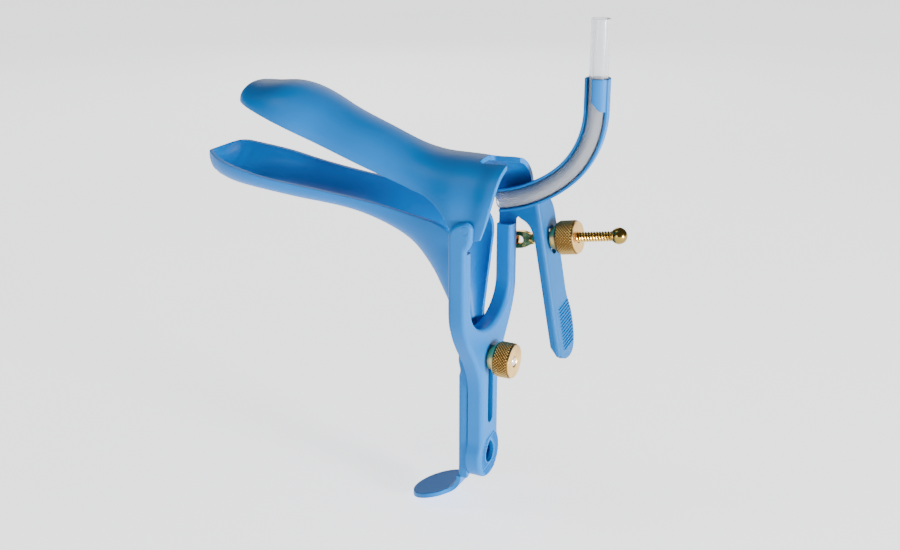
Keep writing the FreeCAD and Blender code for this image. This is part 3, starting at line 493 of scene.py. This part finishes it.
@dataclass(frozen=True)
class FloorFinish:
    """Plain pale paper of the studio floor."""

    name: str
    pale: Colour = (0.86, 0.87, 0.88, 1.0)
    paler: Colour = (0.90, 0.905, 0.91, 1.0)
    roughness: float = 0.7
    glow: float = 1.9

    def build(self, groups: Groups) -> bpy.types.Material:
        """Build the material.

        Args:
            groups: The shared node groups.

        Returns:
            The material.
        """
        material, shader = new_material(self.name)
        tree = material.node_tree
        peel = place_group(tree, groups.peel, Fine=400.0, Broad=4.0)
        base = add_ramp(tree, peel.outputs["Mottle"], self.pale, self.paler)
        tree.links.new(base, shader.inputs["Base Color"])
        bump = add_bump(tree, peel.outputs["Height"], distance=0.05 * MM, strength=0.2)
        tree.links.new(bump, shader.inputs["Normal"])
        shader.inputs["Roughness"].default_value = self.roughness
        tree.links.new(base, shader.inputs["Emission Color"])
        shader.inputs["Emission Strength"].default_value = self.glow
        return material


# Modelling steps

def select_nothing() -> None:
    """Leave edit mode and clear the selection."""
    if bpy.context.object is not None and bpy.context.object.mode != "OBJECT":
        bpy.ops.object.mode_set(mode="OBJECT")
    bpy.ops.object.select_all(action="DESELECT")


def take(obj: bpy.types.Object) -> None:
    """Make an object the only selected and the active one.

    Args:
        obj: The object.
    """
    select_nothing()
    obj.select_set(True)
    bpy.context.view_layer.objects.active = obj


def edit_all() -> None:
    """Enter edit mode with everything selected."""
    bpy.ops.object.mode_set(mode="EDIT")
    bpy.ops.mesh.select_all(action="SELECT")


def choose_vertices(obj: bpy.types.Object, test: VertexTest) -> None:
    """Select the vertices that pass a test, ready for edit mode.

    Args:
        obj: The mesh object, in object mode.
        test: A function from a vertex position to true or false.
    """
    mesh = obj.data
    mesh.polygons.foreach_set("select", [False] * len(mesh.polygons))
    mesh.edges.foreach_set("select", [False] * len(mesh.edges))
    for vertex in mesh.vertices:
        vertex.select = bool(test(vertex.co))
    bpy.ops.object.mode_set(mode="EDIT")
    bpy.ops.mesh.select_mode(type="VERT")


def smooth_by_angle(obj: bpy.types.Object, degrees: float = 30.0) -> None:
    """Shade an object smooth up to an angle.

    Args:
        obj: The object.
        degrees: The largest angle that stays smooth.
    """
    take(obj)
    bpy.ops.object.shade_smooth_by_angle(angle=math.radians(degrees))


def stand_on(obj: bpy.types.Object, origin: Vector, direction: Vector) -> None:
    """Turn a piece made along +Z onto an axis and apply its place.

    Args:
        obj: The object.
        origin: Where its own origin goes.
        direction: Where its +Z goes.
    """
    take(obj)
    obj.rotation_mode = "QUATERNION"
    obj.rotation_quaternion = Vector((0.0, 0.0, 1.0)).rotation_difference(direction)
    obj.location = origin
    bpy.ops.object.transform_apply(location=True, rotation=True, scale=True)


def copy_of_node(node: str, name: str) -> bpy.types.Object:
    """Copy a CAD node as a new piece with merged vertices.

    Args:
        node: The node's name.
        name: The new piece's name.

    Returns:
        The copy.
    """
    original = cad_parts[node]
    piece = original.copy()
    piece.data = original.data.copy()
    piece.name = name
    piece.parent = None
    for key in list(piece.keys()):
        del piece[key]
    bpy.context.scene.collection.objects.link(piece)
    take(piece)
    edit_all()
    bpy.ops.mesh.remove_doubles(threshold=SEAM_MERGE)
    bpy.ops.object.mode_set(mode="OBJECT")
    bpy.ops.mesh.customdata_custom_splitnormals_clear()
    return piece


def mark_grooves(obj: bpy.types.Object, test: VertexTest) -> None:
    """Write which vertices lie in a groove, where the finish paints shade.

    Args:
        obj: The piece.
        test: A function from a vertex position to true in a groove.
    """
    layer = obj.data.attributes.new(GROOVE, "FLOAT", "POINT")
    layer.data.foreach_set("value", [1.0 if test(vertex.co) else 0.0 for vertex in obj.data.vertices])


def walk_rings(name: str, count: int, rings: list[tuple[float, float]]) -> bpy.types.Object:
    """Extrude a circle from ring to ring along +Z, as on a lathe.

    Args:
        name: The object's name.
        count: Vertices around.
        rings: Height and radius of each ring.

    Returns:
        The new mesh object.
    """
    select_nothing()
    height, radius = rings[0]
    bpy.ops.mesh.primitive_circle_add(vertices=count, radius=radius, location=(0.0, 0.0, height))
    obj = bpy.context.object
    obj.name = name
    bpy.ops.object.transform_apply(location=True, rotation=True, scale=True)
    edit_all()
    for (low, before), (high, after) in zip(rings, rings[1:]):
        bpy.ops.mesh.extrude_region_move(TRANSFORM_OT_translate={"value": (0.0, 0.0, high - low)})
        grow = after / before
        bpy.ops.transform.resize(value=(grow, grow, 1.0), center_override=(0.0, 0.0, high))
    bpy.ops.mesh.select_all(action="SELECT")
    bpy.ops.mesh.remove_doubles(threshold=RING_MERGE)
    bpy.ops.mesh.normals_make_consistent(inside=False)
    bpy.ops.object.mode_set(mode="OBJECT")
    return obj


def dress(obj: bpy.types.Object, material: bpy.types.Material) -> None:
    """Give an object one material.

    Args:
        obj: The object.
        material: The material.
    """
    obj.data.materials.clear()
    obj.data.materials.append(material)


def finish_piece(obj: bpy.types.Object, material: bpy.types.Material, body: Body,
                 replaced: tuple[str, ...] = ()) -> bpy.types.Object:
    """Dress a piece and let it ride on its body.

    Args:
        obj: The piece.
        material: Its material.
        body: The body that it rides on.
        replaced: CAD nodes that it stands for.

    Returns:
        The piece.
    """
    dress(obj, material)
    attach(obj, body.value)
    if replaced:
        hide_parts(*replaced)
    LOG.info("%s: %d faces on %s", obj.name, len(obj.data.polygons), body.value)
    return obj


# Sub-assemblies

@dataclass
class KnurledNut:
    """A brass nut with a plain boss and a diamond-knurled rim."""

    name: str
    node: str
    body: Body
    seat: Vector
    direction: Vector
    boss_radius: float
    boss_length: float
    radius: float
    length: float
    bore: float
    around: int = 72
    rows: int = 10
    depth: float = 0.44 * MM
    chamfer: float = 0.5 * MM
    lip: float = 0.3 * MM
    near: float = 0.02 * MM
    hair: float = 0.001 * MM

    def build(self, material: bpy.types.Material) -> bpy.types.Object:
        """Build the nut.

        Args:
            material: The brass.

        Returns:
            The finished piece.
        """
        base = self.boss_length + self.chamfer
        top = self.boss_length + self.length
        pitch = (self.length - 2 * self.chamfer) / self.rows
        low = self.radius - self.depth
        rings = [(0.0, self.bore), (0.0, self.boss_radius - self.lip), (self.lip, self.boss_radius),
                 (self.boss_length, self.boss_radius), (self.boss_length, self.radius - self.chamfer)]
        rings += [(base + pitch * row, low) for row in range(self.rows + 1)]
        rings += [(top, self.radius - self.chamfer), (top, self.bore + self.lip),
                  (top - self.lip, self.bore), (0.0, self.bore)]
        obj = walk_rings(self.name, self.around, rings)
        self.raise_diamonds(obj, base, pitch)
        smooth_by_angle(obj, degrees=24.0)
        stand_on(obj, self.seat, self.direction)
        return finish_piece(obj, material, self.body, (self.node,))

    def raise_diamonds(self, obj: bpy.types.Object, base: float, pitch: float) -> None:
        """Raise every other vertex of the rim and split the quads along the grooves.

        Args:
            obj: The nut.
            base: Height of the first knurled ring.
            pitch: Distance between rings.
        """
        step = 2 * math.pi / self.around
        low = self.radius - self.depth
        last = base + pitch * self.rows

        def on_rim(spot: Vector) -> bool:
            """Tell whether a vertex lies on the knurled rim.

            Args:
                spot: The vertex's place.

            Returns:
                True on the rim, its first and last ring included.
            """
            outside = math.hypot(spot.x, spot.y) > low - self.near
            return outside and base - self.hair < spot.z < last + self.hair

        def is_peak(spot: Vector) -> bool:
            """Tell whether a vertex is the peak of a diamond.

            Args:
                spot: The vertex's place.

            Returns:
                True for every other vertex of the rings between the first and the last.
            """
            if not on_rim(spot) or spot.z < base + pitch / 2 or spot.z > last - pitch / 2:
                return False
            row = round((spot.z - base) / pitch)
            turn = round(math.atan2(spot.y, spot.x) / step)
            return (row + turn) % 2 == 0

        choose_vertices(obj, is_peak)
        grow = self.radius / low
        bpy.ops.transform.resize(value=(grow, grow, 1.0), center_override=(0.0, 0.0, 0.0))
        bpy.ops.object.mode_set(mode="OBJECT")
        choose_vertices(obj, on_rim)
        bpy.ops.mesh.quads_convert_to_tris(quad_method="SHORTEST_DIAGONAL", ngon_method="BEAUTY")
        bpy.ops.object.mode_set(mode="OBJECT")
        # Mark the grooves between the diamonds, where the brass gets painted shade.
        mark_grooves(obj, lambda spot: on_rim(spot) and math.hypot(spot.x, spot.y) < low + self.near)


@dataclass
class ThreadedRod:
    """The brass angle rod: its flat slotted eye from the frame and a cut thread."""

    name: str = "angle_rod_thread"
    start: float = 9.4 * MM
    end: float = 36.9 * MM
    crest: float = 1.75 * MM
    root: float = 1.28 * MM
    pitch: float = 1.0 * MM
    steps: int = 28
    flank: float = 0.38
    flat: float = 0.12
    weld: float = 0.004 * MM
    overlap: float = 0.2 * MM
    spare_turns: int = 3
    core_share: float = 0.2

    def build(self, material: bpy.types.Material) -> bpy.types.Object:
        """Build the rod.

        Args:
            material: The brass.

        Returns:
            The finished piece.
        """
        eye = copy_of_node("angle_rod", "rod_eye")
        take(eye)
        edit_all()
        cut = PIVOT + PROXIMAL * (self.start + self.overlap)
        bpy.ops.mesh.bisect(plane_co=cut, plane_no=PROXIMAL, clear_outer=True, use_fill=True)
        bpy.ops.object.mode_set(mode="OBJECT")
        smooth_by_angle(eye, degrees=35.0)
        thread = self.cut_thread()
        select_nothing()
        eye.select_set(True)
        thread.select_set(True)
        bpy.context.view_layer.objects.active = thread
        bpy.ops.object.join()
        thread.name = self.name
        return finish_piece(thread, material, Body.ROD, ("angle_rod",))

    def cut_thread(self) -> bpy.types.Object:
        """Screw a thread profile along the rod and trim its ends.

        Returns:
            The threaded bar.
        """
        select_nothing()
        bpy.ops.mesh.primitive_plane_add(size=MM, location=(0.0, 0.0, 0.0))
        bar = bpy.context.object
        edit_all()
        bpy.ops.mesh.merge(type="CENTER")
        bpy.ops.transform.translate(value=(self.root, 0.0, 0.0))
        rise = self.crest - self.root
        moves = [(rise, self.flank), (0.0, self.flat), (-rise, self.flank), (0.0, self.flat)]
        for aside, share in moves:
            bpy.ops.mesh.extrude_region_move(
                TRANSFORM_OT_translate={"value": (aside, 0.0, share * self.pitch)})
        bpy.ops.object.mode_set(mode="OBJECT")
        turns = math.ceil((self.end - self.start) / self.pitch) + self.spare_turns
        screw = bar.modifiers.new("thread", "SCREW")
        screw.axis = "Z"
        screw.angle = 2 * math.pi
        screw.screw_offset = self.pitch
        screw.iterations = turns
        screw.steps = self.steps
        screw.render_steps = self.steps
        screw.use_merge_vertices = True
        screw.merge_threshold = self.weld
        take(bar)
        bpy.ops.object.modifier_apply(modifier=screw.name)
        edit_all()
        bpy.ops.mesh.remove_doubles(threshold=self.weld)
        near = self.spare_turns / 2 * self.pitch
        far = near + self.end - self.start
        for height, way in ((near, -1.0), (far, 1.0)):
            bpy.ops.mesh.bisect(plane_co=(0.0, 0.0, height), plane_no=(0.0, 0.0, way),
                                clear_outer=True, use_fill=True)
            bpy.ops.mesh.select_all(action="SELECT")
        bpy.ops.mesh.normals_make_consistent(inside=False)
        bpy.ops.object.mode_set(mode="OBJECT")
        smooth_by_angle(bar, degrees=28.0)
        middle = (self.crest + self.root) / 2
        inner = self.core_share * self.root
        # Mark the thread's roots, where the brass gets painted shade.
        mark_grooves(bar, lambda spot: inner < math.hypot(spot.x, spot.y) < middle)
        stand_on(bar, PIVOT + PROXIMAL * (self.start - near), PROXIMAL)
        return bar


@dataclass
class BallEnd:
    """The ball on the rod's end, with a flat where the thread enters."""

    name: str = "rod_ball"
    radius: float = 2.8 * MM
    reach: float = 39.2 * MM
    flat: float = 0.35 * MM

    def build(self, material: bpy.types.Material) -> bpy.types.Object:
        """Build the ball.

        Args:
            material: The brass.

        Returns:
            The finished piece.
        """
        select_nothing()
        bpy.ops.mesh.primitive_uv_sphere_add(segments=56, ring_count=28, radius=self.radius)
        ball = bpy.context.object
        ball.name = self.name
        edit_all()
        bpy.ops.mesh.bisect(plane_co=(0.0, 0.0, self.flat - self.radius), plane_no=(0.0, 0.0, -1.0),
                            clear_outer=True, use_fill=True)
        bpy.ops.mesh.select_all(action="SELECT")
        bpy.ops.mesh.normals_make_consistent(inside=False)
        bpy.ops.object.mode_set(mode="OBJECT")
        smooth_by_angle(ball, degrees=35.0)
        stand_on(ball, PIVOT + PROXIMAL * self.reach, PROXIMAL)
        return finish_piece(ball, material, Body.ROD, ("ball_stop",))


@dataclass
class PressedBlade:
    """A pressed blade with a full round nose.

    Places are in millimetres ahead of the web. The steps of the nose go from the tip back, each
    with the share of the length that stays beyond its place. A lift is a place, a height and a
    turn in degrees.
    """

    name: str
    node: str
    body: Body
    nose: tuple[tuple[float, float], ...]
    lifts: tuple[tuple[float, float, float], ...] = ()

    def build(self, material: bpy.types.Material) -> bpy.types.Object:
        """Build the blade.

        Args:
            material: The coat.

        Returns:
            The finished piece.
        """
        blade = copy_of_node(self.node, self.name)
        self.press_nose(blade)
        smooth_by_angle(blade, degrees=35.0)
        return finish_piece(blade, material, self.body, (self.node,))

    def press_nose(self, blade: bpy.types.Object) -> None:
        """Press the nose back in steps, the tip most, and lift its end.

        Args:
            blade: The blade.
        """
        for place, kept in self.nose:
            choose_vertices(blade, lambda spot, place=place: spot.y > place * MM)
            bpy.ops.transform.resize(value=(1.0, kept, 1.0), center_override=(0.0, place * MM, 0.0))
            bpy.ops.object.mode_set(mode="OBJECT")
        for place, height, turn in self.lifts:
            choose_vertices(blade, lambda spot, place=place: spot.y > place * MM)
            bpy.ops.transform.rotate(value=-math.radians(turn), orient_axis="X", orient_type="GLOBAL",
                                     center_override=(0.0, place * MM, height * MM))
            bpy.ops.object.mode_set(mode="OBJECT")


@dataclass
class Serrations:
    """Raised grip ribs on a flat face, slanting up to the lever side."""

    name: str
    body: Body
    slot: Slot
    origin: Vector
    down: Vector
    outward: Vector
    spans: list[Span]
    width: float = 0.62 * MM
    height: float = 0.42 * MM
    slant: float = math.radians(7.0)
    top_share: float = 0.45
    bevel: float = 0.07 * MM

    def build(self, material: bpy.types.Material) -> bpy.types.Object:
        """Build the ribs.

        Args:
            material: The coat.

        Returns:
            The finished piece.
        """
        ribs = [self.rib(number, *span) for number, span in enumerate(self.spans)]
        select_nothing()
        for rib in ribs:
            rib.select_set(True)
        bpy.context.view_layer.objects.active = ribs[0]
        bpy.ops.object.join()
        joined = ribs[0]
        joined.name = self.name
        smooth_by_angle(joined, degrees=40.0)
        return finish_piece(joined, material, self.body)

    def rib(self, number: int, drop: float, start: float, end: float) -> bpy.types.Object:
        """Make one rib between two sideways places.

        Args:
            number: The rib's number.
            drop: How far down the face its middle lies.
            start: Its near end, sideways.
            end: Its far end, sideways.

        Returns:
            The rib.
        """
        select_nothing()
        bpy.ops.mesh.primitive_cube_add(size=1.0)
        rib = bpy.context.object
        rib.name = f"{self.name}_{number}"
        rib.scale = ((end - start) / math.cos(self.slant), self.width, 2 * self.height)
        bpy.ops.object.transform_apply(location=False, rotation=False, scale=True)
        choose_vertices(rib, lambda spot: spot.z > 0)
        grow = 1 - self.width / (end - start)
        bpy.ops.transform.resize(value=(grow, self.top_share, 1.0), center_override=(0.0, 0.0, 0.0))
        bpy.ops.object.mode_set(mode="OBJECT")
        bevel = rib.modifiers.new("soft", "BEVEL")
        bevel.width = self.bevel
        bevel.segments = 2
        take(rib)
        bpy.ops.object.modifier_apply(modifier=bevel.name)
        centre = self.origin + self.down * drop + SIDEWAYS * ((start + end) / 2)
        turn = Matrix((SIDEWAYS, -self.down, self.outward)).transposed().to_4x4()
        rib.matrix_world = Matrix.Translation(centre) @ turn @ Matrix.Rotation(self.slant, 4, "Z")
        bpy.ops.object.transform_apply(location=True, rotation=True, scale=True)
        return rib


def round_pad_spans(first: float, last: float, pitch: float, centre: tuple[float, float],
                    reach: tuple[float, float], limits: tuple[float, float]) -> list[Span]:
    """Spans of ribs inside an oval pad.

    Args:
        first: How far down the first rib lies.
        last: How far down the last rib may lie.
        pitch: Distance between ribs.
        centre: The oval's centre, sideways and down.
        reach: The oval's half width and half length.
        limits: The least and the largest sideways place.

    Returns:
        Drop, start and end of each rib.
    """
    spans = []
    drop = first
    while drop <= last:
        share = min(abs(drop - centre[1]) / reach[1], 1.0)
        half = reach[0] * math.sqrt(1 - share ** 2)
        start = max(centre[0] - half, limits[0])
        end = min(centre[0] + half, limits[1])
        if end - start > pitch:
            spans.append((drop, start, end))
        drop += pitch
    return spans


def bulb_spans(centre: float, bulb: float, hole: tuple[float, float, float], pitch: float,
               rim: float, edge: float, above: float = 0.80, below: float = 0.86,
               taper: float = 0.7) -> list[Span]:
    """Spans of the fine grip on the round end of the stem, on both sides of the thumb hole.

    Args:
        centre: How far down the middle of the round end lies.
        bulb: Its radius.
        hole: How far down the hole's top and bottom lie, and its half width.
        pitch: Distance between ribs.
        rim: Width of the smooth rim round the hole.
        edge: Width of the smooth rounded edge outside.
        above: Share of the radius that the grip covers above the centre.
        below: Share of the radius that it covers below.
        taper: How the hole widens from its pointed top, as a power.

    Returns:
        Drop, start and end of each rib.
    """
    top, bottom, half = hole
    spans = []
    drop = centre - above * bulb
    while drop < centre + below * bulb:
        reach = math.sqrt(max(bulb ** 2 - (drop - centre) ** 2, 0.0)) - edge
        low = bottom - half
        if drop < low:
            aside = half * max(0.0, (drop - top + rim) / (low - top)) ** taper
        else:
            aside = math.sqrt(max((half + rim) ** 2 - (drop - low) ** 2, 0.0))
        inner = aside + (rim if drop < low and aside > 0.0 else 0.0)
        if inner == 0.0:
            spans.append((drop, -reach, reach))
        elif reach - inner > pitch:
            spans += [(drop, -reach, -inner), (drop, inner, reach)]
        drop += pitch
    return spans


@dataclass
class PressedParts:
    """The finish of every CAD node, seen on those that keep their CAD shape."""

    finishes: dict[str, bpy.types.Material] = field(default_factory=dict)

    def dress_nodes(self) -> None:
        """Give every carried-over CAD node its material."""
        for node, material in self.finishes.items():
            dress(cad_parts[node], material)
            LOG.info("%s dressed with %s", node, material.name)


@dataclass(frozen=True)
class SoftLight:
    """A round area light."""

    name: str
    place: tuple[float, float, float]
    size: float
    power: float
    colour: tuple[float, float, float]

    def hang(self, target: Vector) -> None:
        """Hang the light and aim it.

        Args:
            target: The point that it looks at.
        """
        light = bpy.data.lights.new(self.name, "AREA")
        light.shape = "DISK"
        light.size = self.size
        light.energy = self.power
        light.color = self.colour
        obj = bpy.data.objects.new(self.name, light)
        obj.location = self.place
        aim = target - Vector(self.place)
        obj.rotation_euler = aim.to_track_quat("-Z", "Y").to_euler()
        bpy.context.scene.collection.objects.link(obj)


LIGHTS = (
    SoftLight("front", (-0.22, -0.97, 0.09), 0.28, 25.0, (1.0, 0.99, 0.98)),
    SoftLight("side", (-0.98, 0.25, 0.14), 0.50, 2.8, (0.97, 0.99, 1.0)),
    SoftLight("top", (-0.25, 0.45, 0.90), 0.35, 2.4, (1.0, 1.0, 1.0)),
    SoftLight("rim", (0.75, 0.45, 0.35), 0.50, 1.5, (0.98, 0.99, 1.0)),
)


@dataclass
class Studio:
    """Pale floor, soft lights and the camera of the photograph's view."""

    floor_size: float = FLOOR_EDGE
    floor_gap: float = 0.2 * MM
    target: Vector = field(default_factory=lambda: Vector((0.0, 15.41, 20.76)) * MM)
    eye: Vector = field(default_factory=lambda: Vector((-338.6, -152.9, 158.4)) * MM)
    raised: Vector = field(default_factory=lambda: Vector((0.0, 0.0, 6.0)) * MM)
    lens: float = 56.44
    widening: float = 1.17
    world_light: float = 0.15

    def build(self, material: bpy.types.Material, lowest: float) -> None:
        """Build the floor, the lights, the world and the camera.

        Args:
            material: The floor's material.
            lowest: The height of the object's lowest point.
        """
        self.lay_floor(material, lowest)
        self.hang_lights()
        self.light_world()
        self.set_camera()

    def lay_floor(self, material: bpy.types.Material, lowest: float) -> None:
        """Lay a large plain floor under the object.

        Args:
            material: The floor's material.
            lowest: The height of the object's lowest point.
        """
        select_nothing()
        bpy.ops.mesh.primitive_grid_add(x_subdivisions=8, y_subdivisions=8, size=self.floor_size,
                                        location=(0.0, 0.0, lowest - self.floor_gap))
        floor = bpy.context.object
        floor.name = "studio_floor"
        bpy.ops.object.transform_apply(location=True, rotation=True, scale=True)
        dress(floor, material)
        floor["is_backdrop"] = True

    def hang_lights(self) -> None:
        """Hang the soft area lights."""
        for light in LIGHTS:
            light.hang(self.target)

    def light_world(self) -> None:
        """Give the world a plain pale light."""
        world = bpy.data.worlds.new("studio")
        world.use_nodes = True
        background = world.node_tree.nodes["Background"]
        background.inputs["Color"].default_value = (0.93, 0.96, 1.0, 1.0)
        background.inputs["Strength"].default_value = self.world_light
        bpy.context.scene.world = world

    def set_camera(self) -> None:
        """Set the camera at the photograph's viewing angle, a little wider."""
        camera = bpy.data.cameras.new("view")
        camera.lens = self.lens / self.widening
        camera.sensor_width = 36.0
        camera.clip_start = 0.01
        camera.clip_end = 20.0
        obj = bpy.data.objects.new("view", camera)
        obj.location = self.eye + self.raised
        aim = self.target - self.eye
        obj.rotation_euler = aim.to_track_quat("-Z", "Y").to_euler()
        bpy.context.scene.collection.objects.link(obj)
        bpy.context.scene.camera = obj


def plain_box(bounds: Iterable[Iterable[float]]) -> list[list[float]]:
    """Write a box as plain lists of numbers."""
    return [[float(value) for value in corner] for corner in bounds]


@dataclass(frozen=True)
class Palette:
    """The materials of the object."""

    coat: bpy.types.Material
    lever_coat: bpy.types.Material
    yoke_coat: bpy.types.Material
    nut_brass: bpy.types.Material
    rod_brass: bpy.types.Material
    ball_brass: bpy.types.Material
    steel: bpy.types.Material
    tube: bpy.types.Material


def build_palette(groups: Groups) -> Palette:
    """Build the object's materials.

    Args:
        groups: The shared node groups.

    Returns:
        The materials.
    """
    return Palette(
        coat=CoatFinish("blue_coat").build(groups),
        # The lever's coat is the blue coat painted darker: painted shade, because the front light falls
        # full on the lever.
        lever_coat=CoatFinish("blue_coat_lever_painted_shade", deep=(0.0, 0.098, 0.30, 1.0),
                              light=(0.0, 0.118, 0.36, 1.0), edge=(0.0, 0.23, 0.64, 1.0)).build(groups),
        yoke_coat=CoatFinish("blue_coat_yoke", radius=0.5 * MM).build(groups),
        nut_brass=MetalFinish("nut_brass", bright=(0.92, 0.58, 0.18, 1.0),
                              stained=(0.70, 0.41, 0.11, 1.0),
                              roughness=(0.28, 0.42), groove_shade_strength=0.92).build(groups),
        rod_brass=MetalFinish("rod_brass", bright=(0.86, 0.54, 0.12, 1.0),
                              stained=(0.60, 0.35, 0.06, 1.0),
                              roughness=(0.12, 0.28)).build(groups),
        ball_brass=MetalFinish("ball_brass", bright=(0.34, 0.23, 0.05, 1.0),
                               stained=(0.24, 0.15, 0.03, 1.0),
                               roughness=(0.10, 0.24)).build(groups),
        steel=MetalFinish("stud_steel", bright=(0.78, 0.78, 0.77, 1.0),
                          stained=(0.58, 0.58, 0.57, 1.0),
                          roughness=(0.18, 0.34)).build(groups),
        tube=TubeFinish("clear_tube").build(groups),
    )


def build_nuts(material: bpy.types.Material) -> None:
    """Build both knurled nuts.

    Args:
        material: The brass.
    """
    KnurledNut("height_nut_knurled", "height_nut", Body.HEIGHT_NUT,
               seat=Vector((0.0, -0.05, 0.0)) * MM, direction=FRONT,
               boss_radius=4.1 * MM, boss_length=2.4 * MM, radius=6.1 * MM, length=6.2 * MM,
               bore=1.79 * MM).build(material)
    KnurledNut("angle_nut_knurled", "angle_nut", Body.ANGLE_NUT,
               seat=PIVOT + PROXIMAL * 15.595 * MM, direction=PROXIMAL,
               boss_radius=3.8 * MM, boss_length=2.4 * MM, radius=5.85 * MM, length=7.0 * MM,
               bore=1.79 * MM, around=68, rows=12).build(material)


def build_blades(material: bpy.types.Material) -> None:
    """Build both pressed blades.

    Args:
        material: The coat.
    """
    PressedBlade("lower_blade_pressed", "lower_blade", Body.HANDLE,
                 nose=((107.5, 0.55), (105.0, 0.70), (102.5, 0.80), (100.0, 0.85), (97.0, 0.93),
                       (84.0, 1.08)),
                 lifts=((100.0, 60.5, 4.0), (103.0, 60.5, 5.0))).build(material)
    PressedBlade("upper_blade_pressed", "upper_blade", Body.BLADE,
                 nose=((93.0, 0.50), (91.0, 0.60), (88.5, 0.75), (86.0, 0.80), (83.0, 0.90),
                       (70.0, 1.11))).build(material)


def build_grips(lever: bpy.types.Material, stem: bpy.types.Material) -> None:
    """Build the ribs of the lever's pad and those round the stem's thumb hole.

    Args:
        lever: The lever's coat.
        stem: The stem's coat.
    """
    pad = round_pad_spans(first=39.6 * MM, last=54.0 * MM, pitch=1.2 * MM,
                          centre=(23.6 * MM, 46.5 * MM), reach=(6.3 * MM, 12.5 * MM),
                          limits=(19.8 * MM, 29.7 * MM))
    Serrations("lever_serrations", Body.BLADE, Slot.LEVER, origin=HINGE + PROXIMAL * 9.5 * MM,
               down=DOWNWARD, outward=PROXIMAL, spans=pad).build(lever)
    bulb = bulb_spans(centre=36.2 * MM, bulb=8.2 * MM, hole=(30.8 * MM, 39.4 * MM, 3.2 * MM),
                      pitch=1.0 * MM, rim=0.6 * MM, edge=1.5 * MM)
    Serrations("bulb_serrations", Body.YOKE, Slot.YOKE, origin=Vector((0.0, 0.0, 0.0)), down=DOWN,
               outward=FRONT, spans=bulb, width=0.52 * MM, height=0.34 * MM).build(stem)


def main() -> None:
    """Build the finishes, the pieces and the studio, in order."""
    logging.basicConfig(level=logging.INFO, format="%(name)s: %(message)s")
    cad_box = plain_box(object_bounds())
    groups = Groups(build_peel_group(), build_edge_group(), build_wear_group())
    palette = build_palette(groups)
    PressedParts({
        "lower_blade": palette.coat, "upper_blade": palette.coat, "smoke_channel": palette.coat,
        "thumb_lever": palette.lever_coat, "lever_rivet": palette.lever_coat,
        "yoke_frame": palette.yoke_coat, "hinge_pin_left": palette.yoke_coat,
        "hinge_pin_right": palette.yoke_coat, "rod_rivet": palette.rod_brass,
        "rod_washer": palette.rod_brass, "height_stud": palette.steel, "smoke_tube": palette.tube,
        "height_nut": palette.nut_brass, "angle_nut": palette.nut_brass,
        "angle_rod": palette.rod_brass, "ball_stop": palette.ball_brass,
    }).dress_nodes()
    build_nuts(palette.nut_brass)
    build_blades(palette.coat)
    ThreadedRod().build(palette.rod_brass)
    BallEnd().build(palette.ball_brass)
    build_grips(palette.lever_coat, palette.yoke_coat)
    Studio().build(FloorFinish("pale_floor").build(groups), cad_box[0][2])


if __name__ == "__main__":
    main()
